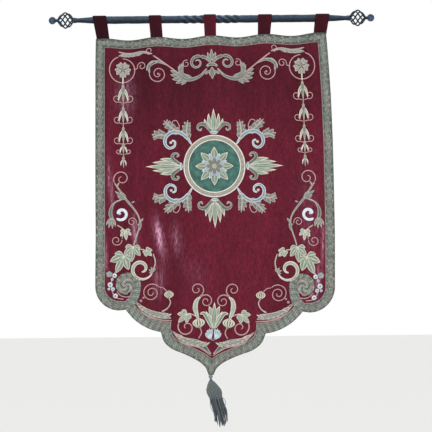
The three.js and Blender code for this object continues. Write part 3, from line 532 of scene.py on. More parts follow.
def braid(piece, outer, inner, start=0.0, ribbed=0.3, lift=0.0):
    """A strip of woven band between matched points of two lines, with its repeat and edge cord."""
    outer, inner = np.array(outer, float), np.array(inner, float)
    centre = (outer + inner) / 2
    knots = lengths_along(centre)
    count = max(4, int(knots[-1] / BAND_STEP))
    at = np.linspace(0, knots[-1], count)
    outer, inner = (np.column_stack([np.interp(at, knots, line[:, k]) for k in (0, 1)])
                    for line in (outer, inner))
    w = np.linspace(0, 1, BAND_COLUMNS)
    place = outer[:, None, :] + (inner - outer)[:, None, :] * w[None, :, None]
    width = np.linalg.norm(inner - outer, axis=1)[:, None]
    u = np.broadcast_to(start + at[:, None], (count, BAND_COLUMNS))
    v = (w - 0.5) * width
    pale = (1 - ribbed) * leaf_repeat(u, v) + ribbed * ribs(u, v)
    specks = np.sin(u / 1.9 + 2.3 * np.sin(v / 3.1)) * np.sin(v / 1.7 + 1.7 * np.sin(u / 4.7))
    pale = np.clip(pale * (0.86 + 0.3 * specks) + 0.05 * np.sin(u / 23 + v / 9), 0, 1)
    outside = np.exp(-(((v + width / 2) / 1.6) ** 2))
    inside = np.exp(-(((v - width / 2 + 1.8) / 1.2) ** 2))
    height = GROUND + lift + 1.5 + 0.9 * pale + 0.8 * inside
    height[:, [0, -1]] = GROUND + lift + 0.4
    dyes = mix((BAND_DARK, BAND_PALE), 0.1 + pale * (0.84 - 0.22 * w))
    cool = 0.5 + 0.5 * np.sin(u / 31 + 0.8 * np.sin(u / 12.5) + v / 14)
    dyes = dyes * (1 + cool[..., None] * [-0.1, -0.01, 0.0])
    dyes = dyes + (np.array(BAND_EDGE) - dyes) * inside[..., None]
    dyes = dyes * (1 - 0.6 * outside[..., None])
    threads = np.dstack([u, v]) * MM
    bottom = np.dstack([place[:, [0, -1]], np.full((count, 2), GROUND + lift - 0.2)])
    piece.shell(np.dstack([place, height]), bottom, dyes, threads)


# Outlines of the cut
def arc(start, end, radius):
    """Points of an arc of a given radius, from a start to an end."""
    chord = math.dist(start, end)
    rise = math.sqrt(radius**2 - chord**2 / 4)
    across = ((end[1] - start[1]) / chord, -(end[0] - start[0]) / chord)
    centre = [(start[k] + end[k]) / 2 - across[k] * rise for k in (0, 1)]
    first = math.atan2(start[1] - centre[1], start[0] - centre[0])
    last = math.atan2(end[1] - centre[1], end[0] - centre[0])
    angles = np.linspace(first, last, 31)
    return np.column_stack([centre[0] + radius * np.cos(angles), centre[1] + radius * np.sin(angles)])


def corner_arc(radius):
    angles = np.linspace(0, math.pi / 2, 27)
    middle = HALF_WIDTH - CORNER_RADIUS
    return np.column_stack([middle + radius * np.cos(angles), SIDE_END + radius * np.sin(angles)])


INNER_CUSP = (136, 991)
INNER_POINT = (0, 1084)
OGEE_ROWS = [[*SECOND_CUSP, *INNER_CUSP], [155, 1035, 128, 1012], [128, 1057, 112, 1027],
             [95, 1070, 82, 1042], [60, 1085, 47, 1057], [34, 1100, 20, 1070], [17, 1116, 6, 1080],
             [*POINT, *INNER_POINT]]
OGEE, OGEE_INNER = np.split(smooth(OGEE_ROWS, 3), 2, axis=1)
JUNCTION = (262, 906)
SWAG = arc(FIRST_CUSP, SECOND_CUSP, SWAG_RADIUS)
SWAG_INNER = arc((261.5, 906.5), (INNER_CUSP[0], 968), SWAG_RADIUS - BAND_WIDTH)
LOBE = np.concatenate([corner_arc(CORNER_RADIUS), [FIRST_CUSP]])


LOWER_EDGE = np.concatenate([LOBE, SWAG[1:], OGEE[1:]])


def foot_at(s):
    """The panel's lower edge at distances from the middle."""
    line = LOWER_EDGE[::-1]
    return np.interp(np.abs(s), line[:, 0], line[:, 1])


# Panel
PANEL_STEP = 5
SIDE_STRIP = 39
VELVET_DARK = linear(50, 9, 20)
VELVET_LIGHT = linear(102, 27, 45)
PILE_SHEEN = linear(190, 60, 100)
# Colour of the painted sheen where the pile is crushed, then the crushed patches where it is painted
CRUSHED_SHEEN = linear(206, 150, 178)
CRUSH = table("s t wide tall lean much",
              (-181, 690, 10, 42, 0.15, 1.0), (-176, 712, 13, 52, 0.24, 0.3), (346, 716, 5, 60, 0.0, 0.4),
              (-258, 682, 9, 42, 0.08, 0.6), (-125, 705, 14, 42, 0.1, 0.3), (-335, 533, 6, 62, 0.06, 0.6),
              (-181, 837, 17, 46, 0.0, 0.26), (-66, 811, 36, 48, 0.3, 0.06), (-286, 237, 26, 55, 0.0, 0.3),
              (330, 833, 7, 46, -0.1, 0.5), (-350, 776, 6, 48, 0.0, 0.5), (300, 640, 30, 120, 0.0, 0.1))


def crushed(s, t):
    """How far the pile is laid flat, 0 to 1, at places of the cut; the velvet finish paints a pale sheen
    there.
    """
    total = np.zeros_like(s)
    for row in CRUSH:
        off = s - row["s"] - row["lean"] * (t - row["t"])
        near = np.exp(-((off / row["wide"]) ** 2) - ((t - row["t"]) / row["tall"]) ** 2)
        streak = 0.55 + 0.45 * np.sin(off * 0.55 + 0.02 * t) * np.sin(off * 0.23 + 1.3)
        total += row["much"] * near * streak
    return np.clip(total, 0, 1)


def velvet_colour(s, t):
    slow = 0.5 + 0.14 * np.sin(s / 71 + 1.1) + 0.1 * np.sin(s / 29 + t / 260) + 0.05 * np.sin(s / 13.0 + 2)
    # painted light: the panel is lighter towards its right side
    slow = slow + 0.22 * np.clip(s / 300, 0, 1)
    top_shade = 0.32 * np.exp(-((t - 190) / 150) ** 2)
    return mix((VELVET_DARK, VELVET_LIGHT), 0.55 * slow + 0.28 - top_shade)


def velvet_panel(material):
    """The cloth: columns 5 mm apart, closer near the sides, and rows from the top edge to the foot."""
    half = np.unique(np.concatenate([
        np.arange(0, HALF_WIDTH - SIDE_STRIP, PANEL_STEP), [POINT[0], SECOND_CUSP[0], FIRST_CUSP[0]],
        HALF_WIDTH - SIDE_STRIP * (1 - np.sin(np.linspace(0, math.pi / 2, 15))),
    ]))
    columns = np.concatenate([-half[:0:-1], half])[::-1]
    part = np.linspace(0, 1, int((POINT[1] - TOP) / PANEL_STEP) + 1)
    s = np.broadcast_to(columns, (len(part), len(columns)))
    t = TOP + (foot_at(columns) - TOP) * part[:, None]
    piece = Gathered()
    top = np.dstack([s, t, np.zeros_like(s)])
    bottom = np.dstack([s, t, np.full_like(s, -PANEL_THICK)])
    piece.shell(top, bottom, velvet_colour(s, t), np.dstack([s, t]) * MM)
    panel = piece.to_object("velvet_panel_cloth", material, "panel_velvet", ["velvet_panel"])
    # how strongly each point gets the painted sheen
    laid = np.concatenate([crushed(s, t).ravel(), np.zeros(s.size)])
    layer = panel.data.color_attributes.new("laid", "FLOAT_COLOR", "POINT")
    layer.data.foreach_set("color", np.repeat(laid, 4))
    return panel


# Border bands
def borders(material):
    pieces = []
    inside = HALF_WIDTH - BAND_WIDTH

    def finish(piece, place):
        pieces.append(piece.to_object("braid_" + place, material, "metal_band", ["border_" + place]))

    top = Gathered()
    across = np.linspace(-1, 1, 60)
    braid(top, np.column_stack([across * HALF_WIDTH, np.full(60, TOP)]),
          np.column_stack([across * inside, np.full(60, TOP + BAND_WIDTH)]), ribbed=0.1)
    finish(top, "top")
    point = Gathered()
    for side in (1, -1):
        point.side = side
        braid(point, np.vstack([OGEE, [0, POINT[1]]]), np.vstack([OGEE_INNER, INNER_POINT]), ribbed=0.45)
    finish(point, "point")
    for side, word in SIDES:
        straight = Gathered(side)
        braid(straight, [[HALF_WIDTH, TOP], [HALF_WIDTH, SIDE_END]],
              [[inside, TOP + BAND_WIDTH], [inside, SIDE_END]])
        finish(straight, word)
        lobe = Gathered(side)
        braid(lobe, LOBE, np.vstack([corner_arc(CORNER_RADIUS - BAND_WIDTH), JUNCTION]), start=8, ribbed=0.35)
        volute(lobe)
        finish(lobe, "lobe_" + word)
        swag = Gathered(side)
        braid(swag, np.vstack([SWAG, SECOND_CUSP]), np.vstack([SWAG_INNER, INNER_CUSP]), ribbed=0.8)
        finish(swag, "swag_" + word)
    return pieces


def volute(piece):
    """The band climbs from the cusp and rolls up into a ribbed disc with a mottled middle."""
    s, t = VOLUTE
    rings = np.linspace(0.5, 24, 12)
    angles = np.radians(np.linspace(0, 360, 61))
    disc_s = s + 3 + rings[:, None] * np.cos(angles)
    disc_t = t + 2 + rings[:, None] * np.sin(angles)
    part = (0.42 + 0.3 * np.sin(disc_s * 0.9) * np.sin(disc_t * 0.7 + 1)
            + 0.25 * np.sin(3 * angles + rings[:, None] / 3))
    height = GROUND + 2.2 + 0.8 * np.clip(part, 0, 1)
    under = np.full_like(height, GROUND)
    piece.shell(np.dstack([disc_s, disc_t, height]), np.dstack([disc_s, disc_t, under]),
                mix((BAND_DARK, BAND_PALE), part), np.dstack([disc_s, disc_t]) * MM)
    turns = spiral(s, t, 33, 27, 200, -300, 30, 6)
    climb = smooth([[281, 919, 31], [261, 899, 32], *turns.tolist()], 2)
    off = normals(climb[:, :2]) * climb[:, 2:] / 2
    braid(piece, climb[:, :2] - off, climb[:, :2] + off, ribbed=0.85, lift=0.7)
    cord(piece, [[315, 872, 3], [302, 886, 3.6], [282, 891, 3.6], [262, 884, 3]])


# Embroidered sprays, drawn for one half with s outwards
def top_fleuron(piece):
    fan(piece, (0, 132), 90, 110, 38, 12, 5, shorter=0.38)
    for side in (1, -1):
        piece.side = side
        stem(piece, [[2, 142, 7], [16, 125, 11], [38, 115, 12]], rise=3.0)
        stem(piece, spiral(49, 136, 22, 7, 125, -440, 12, 4), rise=3.0)
        stem(piece, [[0, 172, 9], [12, 168, 9], [24, 175, 7]])
        bead(piece, 14, 148, 5.2, SILVER_DYE)
    piece.side = 1
    petal(piece, (0, 152), (0, 192), 17, lift=0.6)
    petal(piece, (-2, 156), (-9, 180), 9)
    petal(piece, (2, 156), (9, 180), 9)
    stem(piece, [[-17, 147, 8], [0, 144, 11], [17, 147, 8]], rise=4.0)


def leaf_spray(piece, start, bend, end, reach, lean, width, count, way=1, dye=SILVER_DYE, first=0.12,
               last=0.9):
    """Evenly set lobes along one side of a bent line, longest in the middle of it."""
    start, bend, end = (np.array(place, float) for place in (start, bend, end))
    for part in np.linspace(first, last, count):
        base = (1 - part) ** 2 * start + 2 * part * (1 - part) * bend + part**2 * end
        along = (1 - part) * (bend - start) + part * (end - bend)
        off = turned(along / np.linalg.norm(along), lean * way)
        size = 0.6 + 0.4 * math.sin(math.pi * part**0.8)
        petal(piece, base, base + off * reach * size, width * size, dye, fullest=0.5, rise=3.2)


def top_scroll(piece):
    cord(piece, spiral(178, 171, 29, 5, 12, -560, 3.6, 3.2))
    cord(piece, [[112, 167, 5], [150, 141, 5], [194, 111, 5]])
    cord(piece, spiral(85, 137, 13, 4, 120, -430, 3.2, 3))
    stem(piece, [[17, 157, 5], [42, 181, 10], [84, 189, 13], [116, 166, 8]], rise=3.4, groove=0.2)
    leaf_spray(piece, (60, 188), (108, 204), (116, 152), 52, 50, 14, 8, way=-1, first=0.02, last=0.82)
    leaf_spray(piece, (74, 190), (112, 196), (118, 150), 34, 34, 12, 5, way=1, first=0.1, last=0.7)
    stem(piece, [[146, 143, 4], [180, 132, 10], [207, 145, 11], [206, 168, 5]], rise=3.2)
    plume(piece, [[176, 131, 3], [200, 131, 4], [214, 148, 4], [215, 160, 2]], 9, 0, 5, lean=55)
    bead(piece, 178, 171, 4, CORD_DYE, rise=2.5)


# How far each half of a petal leans from its middle, in degrees
ROSE_LOBE = math.degrees(0.27)


def rose(piece, s, t, radius):
    """Five puffed petals, each of two lobes, with green sepals between them and a small ridged heart."""
    for degrees in range(54, 414, 72):
        petal(piece, (s, t), polar((s, t), radius * 0.9, degrees), 7)
    for degrees in range(18, 378, 72):
        for way in (-1, 1):
            tip = polar((s, t), radius, degrees + way * ROSE_LOBE)
            petal(piece, (s, t), tip, radius * 0.46, LEAF_DYE, bow=-1.89 * way, fullest=0.68, rise=3.8,
                  groove=0.7)
    bead(piece, s, t, radius * 0.2, SILVER_DYE, rise=4.6, ridges=6, lift=0.6)


def corner_ring(piece):
    cord(piece, spiral(294, 154, 45, 38, 72, -342, 4, 3.6))
    cord(piece, spiral(206, 95, 12, 5, -100, 330, 3.2, 3))
    cord(piece, spiral(231, 143, 15, 4, -25, 470, 3.4, 3))
    cord(piece, [[258, 152, 3.4], [250, 151, 3.4], [243, 148, 3.4]])
    stem(piece, [[196, 106, 4], [228, 97, 9], [268, 100, 9], [308, 94, 3]], hollow=0.5)
    leaf_spray(piece, (214, 98), (256, 98), (296, 100), 32, 22, 9, 6)
    rose(piece, 293, 153, 27)
    stem(piece, [[293, 176, 6], [293, 188, 4], [293, 200, 4]], CREAM_DYE)


HUSKS = table("t end width curl_at curl", (212, 258, 31, 247, 12), (284, 326, 28, 316, 11),
              (350, 392, 28, 383, 11), (402, 426, 20, 420, 7), (446, 468, 16, 0, 0))
HUSK_LINE = 293


def husk_chain(piece):
    stem(piece, [[HUSK_LINE, 198, 3.6], [HUSK_LINE, 330, 3.6], [HUSK_LINE, 474, 3.2]], CORD_DYE, 1.8)
    for row in HUSKS:
        t, end, half = row["t"], row["end"], row["width"] / 2
        tall = end - t
        if row["curl"]:
            for way in (-1, 1):
                turns = spiral(0, row["curl_at"], row["curl"] * 1.1, 3, -115, 380, 3, 2.8)
                turns[:, 0] = HUSK_LINE + way * (turns[:, 0] + row["curl"] + 9)
                cord(piece, [[HUSK_LINE, end + 5, 3], *turns.tolist()])
        for way in (-1, 1):
            tip = (HUSK_LINE + way * half, end)
            petal(piece, (HUSK_LINE + way, t), tip, half * 0.62, CREAM_DYE, bow=way * -3, fullest=0.4)
            petal(piece, (HUSK_LINE, t - 12), (HUSK_LINE + way * 4.5, t + 2), 4.5)
        petal(piece, (HUSK_LINE, t - 4), (HUSK_LINE, end + 4), half * 0.6, rise=3.4, lift=0.5)
        petal(piece, (HUSK_LINE, t - 3), (HUSK_LINE, t + tall * 0.55), half * 0.85, rise=3.6, lift=0.8)


def side_vine(piece):
    cord(piece, spiral(299, 508, 27, 5, -30, 480, 4, 3))
    stem(piece, [[322, 522, 4], [291, 568, 8], [243, 640, 5], [262, 725, 4.4]], rise=2.4)
    fan(piece, (286, 574), 36, 26, 44, 11, 3)
    for base, tip, width in (((316, 536), (306, 519), 6), ((268, 586), (257, 582), 6),
                             ((243, 650), (230, 636), 8), ((243, 676), (240, 641), 11)):
        petal(piece, base, tip, width)
    stem(piece, [[288, 571, 4], [324, 588, 6], [336, 620, 13], [325, 651, 9]])
    fan(piece, (331, 634), -82, 56, 40, 9, 4, shorter=0.2)
    stem(piece, spiral(301, 622, 21, 9, -42, -330, 9, 12), BLUE_DYE, rise=4.2, hollow=0.2)
    bead(piece, 306, 621, 4.6, BLUE_DYE, rise=3)
    cord(piece, [[315, 658, 4.4], [301, 667, 4], [289, 677, 4]], SILVER_DYE)
    vine_leaf(piece, (289, 674), (285, 708), 12)
    cord(piece, [[243, 658, 3.2], [252, 655, 3.2]])
    cord(piece, spiral(267, 648, 15, 4, 205, -500, 3.2, 3))
    cord(piece, [[294, 682, 3], [299, 704, 3]])
    cord(piece, spiral(317, 708, 18, 4, 170, 480, 3.4, 3))
    vine_leaf(piece, (264, 727), (268, 777), 19)


def vine_leaf(piece, base, tip, width):
    """A leaf of five lobes: one to the tip, two beside it and two short ones near the base."""
    run = np.subtract(tip, base)
    for degrees, share in ((78, 0.5), (-78, 0.5), (42, 0.78), (-42, 0.78), (0, 1)):
        lobe = base + turned(run, degrees) * share
        petal(piece, base, lobe, width, CREAM_DYE, fullest=0.55, rise=3.4, groove=0.55)


def corner_buds(piece):
    cord(piece, [[272, 748, 4], [284, 755, 4], [294, 759, 4]], SILVER_DYE)
    vine_leaf(piece, (292, 757), (318, 814), 24)
    cord(piece, [[317, 804, 4], [333, 850, 4], [318, 892, 3.6], [291, 899, 3.4]])
    bead(piece, 339, 818, 10.5, (BLUE_SHADE, BAND_PALE), rise=4, ridges=5)
    for s, t, radius in ((322, 822, 8), (330, 835, 5), (336, 852, 9), (327, 866, 7), (340, 866, 5),
                         (318, 888, 8.5)):
        bead(piece, s, t, radius, BLUE_DYE, rise=4.2)
        bead(piece, s, t, radius * 0.5, TEAL_DYE, rise=4.6, lift=0.2)


def melon(piece, top, bottom, spread):
    """A ribbed fruit: a dark ground and pale ribs that leave its top, bow out and meet at its foot."""
    middle = (np.array(top, float) + bottom) / 2
    bead(piece, *middle, spread, MELON_DYE, rise=2.4)
    for part in (-1, 1, -0.52, 0.52, 0):
        petal(piece, top, bottom, spread * 0.36, CREAM_DYE, bow=part * spread, rise=4.8 - 1.2 * abs(part),
              groove=0.5)


def field_curl(piece):
    stem(piece, scroll(237, 800, 38, 9, 195, 430, 4, 13), CREAM_DYE, rise=3.8, hollow=0.65)
    cord(piece, [[250, 738, 4], [236, 737, 4], [226, 738, 4]], SILVER_DYE)
    cord(piece, [[199, 750, 4], [192, 778, 4.4], [200, 811, 5]], SILVER_DYE)
    vine_leaf(piece, (223, 739), (203, 758), 14)
    fan(piece, (198, 808), 40, 110, 18, 8, 4, shorter=0.2)


def foot_spray(piece):
    cord(piece, spiral(203, 877, 30, 4, 140, -700, 3.6, 3.2))
    cord(piece, [[180, 858, 3.4], [166, 861, 3.4], [154, 872, 3.4]])
    melon(piece, (147, 895), (147, 868), 13)
    cord(piece, [[147, 892, 3.6], [141, 908, 3.8], [150, 926, 4], [168, 938, 6]], SILVER_DYE)
    leaf_spray(piece, (250, 914), (218, 960), (150, 960), 46, 34, 13, 7, dye=LEAF_DYE, first=0.06)
    stem(piece, [[250, 908, 4], [222, 935, 19], [176, 950, 19], [137, 958, 5]], hollow=1.0)
    cord(piece, [[252, 910, 3], [220, 947, 4.4], [176, 963, 4.4], [133, 966, 3]])
    bead(piece, 236, 903, 5, CORD_DYE)
    bead(piece, 228, 893, 4, CORD_DYE)


def lily_horn(piece):
    cord(piece, [[44, 984, 4], [38, 1003, 4], [47, 1022, 4]])
    cord(piece, spiral(27, 902, 22, 4, 38, 520, 4, 3))
    cord(piece, spiral(58, 865, 24, 4, 249, -500, 4, 3))
    cord(piece, [[57, 951, 4], [72, 944, 4], [86, 942, 5]], SILVER_DYE)
    cord(piece, spiral(86, 986, 29, 4, 28, -440, 5, 3))
    stem(piece, [[50, 960, 8], [61, 924, 17], [57, 900, 13], [45, 888, 5]], CREAM_DYE, rise=3.8, hollow=0.6)
    melon(piece, (50, 956), (46, 988), 17)
    vine_leaf(piece, (86, 942), (114, 972), 16)


def point_leaf(piece):
    leaf_spray(piece, (130, 1003), (94, 1052), (22, 1050), 46, 34, 12, 7, dye=LEAF_DYE, first=0.06)
    stem(piece, [[130, 1001, 4], [96, 1026, 19], [40, 1039, 19], [3, 1071, 4]], hollow=1.0)
    cord(piece, [[132, 998, 3], [96, 1036, 4.4], [40, 1052, 4.4], [2, 1077, 3]])


def foot_palmette(piece):
    for side in (1, -1):
        piece.side = side
        petal(piece, (6, 984), (27, 933), 11, CREAM_DYE, bow=-3)
        petal(piece, (4, 978), (17, 917), 14, CREAM_DYE, bow=-3, fullest=0.66)
        stem(piece, [[5, 988, 8], [18, 964, 12], [33, 941, 12], [46, 943, 4]], CREAM_DYE, rise=3.8)
        for out, up in ((25, 25), (20, 34), (13, 39), (5, 38)):
            tip = (out, 1028 - up)
            petal(piece, (1, 1028), tip, 9.5, BLUE_DYE, bow=3, rise=4.4, fullest=0.72, groove=0.5)
    piece.side = 1
    petal(piece, (0, 992), (0, 905), 18, CREAM_DYE, rise=4.2, lift=0.8)
    stem(piece, [[-9, 986, 6], [0, 990, 8], [9, 986, 6]], rise=4.4)


# Middle medallion: a plain ring around a rosette, palmettes on the axes and curled sprays between
MEDALLION = (0, 470)
RING_IN = 83
RING_OUT = 99
ROSETTE = 62


def around(radius, degrees):
    return polar(MEDALLION, radius, degrees)


def ground_disc(piece):
    rings = np.linspace(0.5, RING_IN + 2, 34)
    angles = np.radians(np.linspace(0, 360, 97))
    s = MEDALLION[0] + rings[:, None] * np.cos(angles)
    t = MEDALLION[1] + rings[:, None] * np.sin(angles)
    waves = np.cos(8 * angles)[None, :] * np.sin(rings[:, None] / 5.5)
    specks = np.sin(s * 0.9 + 1.7 * np.sin(t * 0.31)) * np.sin(t * 0.83 + 1.3 * np.sin(s * 0.27))
    part = 0.45 + 0.3 * waves + 0.4 * specks
    height = 1.2 + 0.7 * np.clip(part, 0, 1)
    piece.shell(np.dstack([s, t, height]), np.dstack([s, t, np.full_like(s, GROUND)]), mix(TEAL_DYE, part),
                np.dstack([s, t]) * MM)


def ring(piece):
    for radius, wide, dye, rise in ((RING_IN + 8, 17, SILVER_DYE, 3.4), (RING_OUT - 1, 4.5, CREAM_DYE, 4.4),
                                    (RING_IN + 1, 4, CREAM_DYE, 4.4)):
        line = np.array([around(radius, degrees) for degrees in np.linspace(0, 360, 181)])
        mound(piece, line, np.full(len(line), wide / 2), rise, dye, hollow=0.35)
    for degrees in range(0, 360, 10):
        base, tip = around(RING_IN + 3, degrees - 5), around(RING_OUT - 3, degrees + 5)
        petal(piece, base, tip, 6.5, bow=1, rise=4.6)


def rosette(piece):
    layers = ((ROSETTE, 27, CREAM_DYE, 0, 1.4), (ROSETTE * 0.72, 15, BLUE_DYE, 22.5, 2.4),
              (ROSETTE * 0.5, 16, SILVER_DYE, 0, 3.4))
    for reach, wide, dye, offset, lift in layers:
        for degrees in np.arange(8) * 45 + offset:
            base, tip = around(4, degrees), around(reach, degrees)
            petal(piece, base, tip, wide, dye, rise=3.6, lift=lift, groove=0.4)
    bead(piece, *MEDALLION, 10, CREAM_DYE, rise=7.2, ridges=8)


def palmette(piece, base, degrees, reach, wide):
    """A palmette on an axis of the medallion, of any direction, with a pair of volutes at its base."""
    def place(forward, off):
        return base + turned((forward, off), -degrees)

    for way in (-1, 1):
        rows = [(4, 6, 8), (20, 17, 12), (34, 33, 13), (31, 49, 10), (19, 52, 7), (14, 43, 6), (22, 39, 5)]
        stem(piece, [[*place(forward, way * off * wide), width] for forward, off, width in rows], rise=3.6)
        petal(piece, place(12, way * 7), place(reach * 0.62, way * 30 * wide), 14, CREAM_DYE, bow=way * 5)
        petal(piece, place(14, way * 4), place(reach * 0.82, way * 16 * wide), 14, CREAM_DYE, bow=way * 4,
              lift=0.3)
    petal(piece, place(0, 0), place(reach, 0), 17, CREAM_DYE, rise=4.2, lift=0.8)
    stem(piece, [[*place(8, -13), 7], [*place(5, 0), 9], [*place(8, 13), 7]], BLUE_DYE, rise=5)


def medallion_spray(piece, up):
    def flip(t):
        return MEDALLION[1] + up * (MEDALLION[1] - t)

    rows = [(72, 401, 5), (86, 380, 10), (108, 362, 13), (136, 360, 13), (156, 376, 12), (158, 398, 11),
            (144, 411, 9), (128, 404, 8), (127, 390, 7), (137, 386, 6)]
    stem(piece, [[s, flip(t), width] for s, t, width in rows], BLUE_DYE, rise=4)
    leaves = [
        [(84, 388, 4), (88, 358, 7), (84, 322, 3)],
        [(108, 366, 4), (136, 346, 7), (162, 322, 3)],
        [(150, 374, 4), (174, 368, 7), (198, 376, 3)],
    ]
    for spine in leaves:
        plume(piece, [[s, flip(t), width] for s, t, width in spine], 15, 15, 4, lean=33, last=0.7)
    cord(piece, [[118, flip(362), 3.4], [112, flip(340), 3.4], [122, flip(322), 3.2], [134, flip(326), 3],
                 [130, flip(336), 3]])
    bead(piece, 140, flip(393), 5, CREAM_DYE, rise=5)


SPRAYS = (top_scroll, corner_ring, husk_chain, side_vine, corner_buds, field_curl, foot_spray, lily_horn,
          point_leaf)


def embroidery(material):
    """All the sprays: each function above draws the node of its own name."""
    pieces = []

    def finish(node, draw, slot, side=1):
        piece = Gathered(side)
        draw(piece)
        pieces.append(piece.to_object(node + "_stitched", material, slot, [node]))

    for side, word in SIDES:
        for draw in SPRAYS:
            finish(draw.__name__ + "_" + word, draw, "silver_thread", side)
        for up, height in ((1, "upper"), (-1, "lower")):
            node = "medallion_" + height + "_spray_" + word
            finish(node, lambda piece: medallion_spray(piece, up), "blue_silver", side)
        finish("medallion_side_" + word, lambda piece: palmette(piece, (101, MEDALLION[1]), 0, 121, 0.8),
               "cream_silk", side)
    singles = [
        ("top_fleuron", top_fleuron, "silver_thread"),
        ("foot_palmette", foot_palmette, "cream_silk"),
        ("medallion_ground", ground_disc, "teal_cloth"),
        ("medallion_ring", ring, "silver_thread"),
        ("medallion_rosette", rosette, "cream_silk"),
        ("medallion_upper_palmette", lambda piece: palmette(piece, (0, 369), 90, 83, 1), "cream_silk"),
        ("medallion_lower_palmette", lambda piece: palmette(piece, (0, 571), -90, 97, 1), "cream_silk"),
    ]
    for node, draw, slot in singles:
        finish(node, draw, slot)
    return pieces


# Iron rod and finials
def rings_along_x(rows, sides):
    """Rings about the rod's line, from rows of x and a radius for each side of the ring."""
    angles = round_angles(sides)
    return np.array([np.column_stack([np.full(sides, x), reach * np.cos(angles), reach * np.sin(angles)])
                     for x, reach in rows]) * MM


def forged(x, angle):
    """Small uneven hammer marks on a bar, in millimetres."""
    return (0.22 * np.sin(x / 6.1 + 3 * angle) * np.sin(x / 17.0 + 1.3)
            + 0.18 * np.sin(x / 11.3 - 2 * angle + 0.7))


def painted_light_and_shade(angles):
    """Painted shade below and painted light on top: the bar's dye set by the angle round it."""
    return 0.1 + 0.92 * np.clip(0.75 + 0.75 * np.sin(angles + 0.35), 0, 1) ** 1.3


def rod(material):
    sides = 40
    angles = round_angles(sides)
    taper_x, taper_radius = zip(*ROD_TAPER)
    end = ROD_TAPER[-1][0]
    rows, wear_and_painted_shade = [], []
    for x in np.linspace(-end, end, ROD_STATIONS):
        radius = np.interp(abs(x), taper_x, taper_radius)
        part = (x - TWIST_FROM) / (TWIST_TO - TWIST_FROM)
        ridge = TWIST_RIDGE * float(np.clip(min(8 * part, 8 * (1 - part)), 0, 1))
        crest = np.cos(4 * (angles - 2 * math.pi * TWIST_TURNS * part))
        rows.append((x, radius + ridge * crest + forged(x, angles) * radius / ROD_RADIUS))
        # painted shade in the twist's grooves and a painted highlight on its crests
        wear_and_painted_shade.append(painted_light_and_shade(angles) * (1 + 0.85 * ridge / TWIST_RIDGE * crest))
    piece = Gathered()
    piece.tube(rings_along_x(rows, sides), IRON, wear_and_painted_shade=np.array(wear_and_painted_shade))
    return piece.to_object("rod_bar_forged", material, "forged_iron", ["rod_bar"])


def cage_wire(piece, index, side):
    steps = 30
    part = 0.5 - 0.5 * np.cos(np.linspace(0, math.pi, steps + 1))
    angle = 2 * math.pi * index / CAGE_WIRES + math.pi * part
    reach = 4 + (CAGE_RADIUS - 1 - 4) * np.sin(math.pi * part) ** 0.8
    line = np.column_stack([CAGE_FROM + 2.4 + (CAGE_TO - CAGE_FROM - 4.8) * part,
                            reach * np.cos(angle), reach * np.sin(angle)])
    sweep(piece, line * [side, 1, 1], np.full(steps + 1, WIRE_RADIUS), np.array(IRON) * WIRE_DARKENING, sides=10)


def sweep(piece, line, radii, dye, sides=6):
    """A round cord of given radii along a line of points, all in millimetres."""
    line = np.asarray(line, float)
    along = unit(np.gradient(line, axis=0))
    first = unit(np.cross(along, [0.31, 0.9, 0.3]))
    second = np.cross(along, first)
    angles = round_angles(sides)[None, :, None]
    circle = first[:, None, :] * np.cos(angles) + second[:, None, :] * np.sin(angles)
    rings = line[:, None, :] + radii[:, None, None] * circle
    piece.tube(rings * MM, dye, lengths_along(line) * MM)


def finials(material):
    """At each end a cage of twisted wires between two hubs, and a ball."""
    for side, word in SIDES:
        cage = Gathered()
        for index in range(CAGE_WIRES):
            cage_wire(cage, index, side)
        for x, wide, narrow in ((CAGE_FROM + 3, 9, 5.5), (CAGE_TO - 3, 5.5, 7)):
            profile = ((-3, wide * 0.9), (-2.2, wide), (0, (wide + narrow) / 2), (2.2, narrow),
                       (3, narrow * 0.9))
            cage.tube(rings_along_x([(side * (x + off), reach) for off, reach in profile], 24), IRON)
        cage.to_object("finial_cage_" + word + "_forged", material, "forged_iron", ["finial_cage_" + word])
        ball = Gathered()
        angles = round_angles(28)
        rows = [(side * (CAGE_TO + 0.4), 4.7)]
        for angle in np.linspace(math.pi - 0.42, 0.05, 18):
            reach = BALL_RADIUS * math.sin(angle) * (1 + 0.012 * np.sin(5 * angles + 3 * angle))
            rows.append((side * (BALL_AT + BALL_RADIUS * math.cos(angle)), reach))
        ball.tube(rings_along_x(rows, 28), IRON)
        ball.to_object("finial_ball_" + word + "_forged", material, "forged_iron", ["finial_ball_" + word])


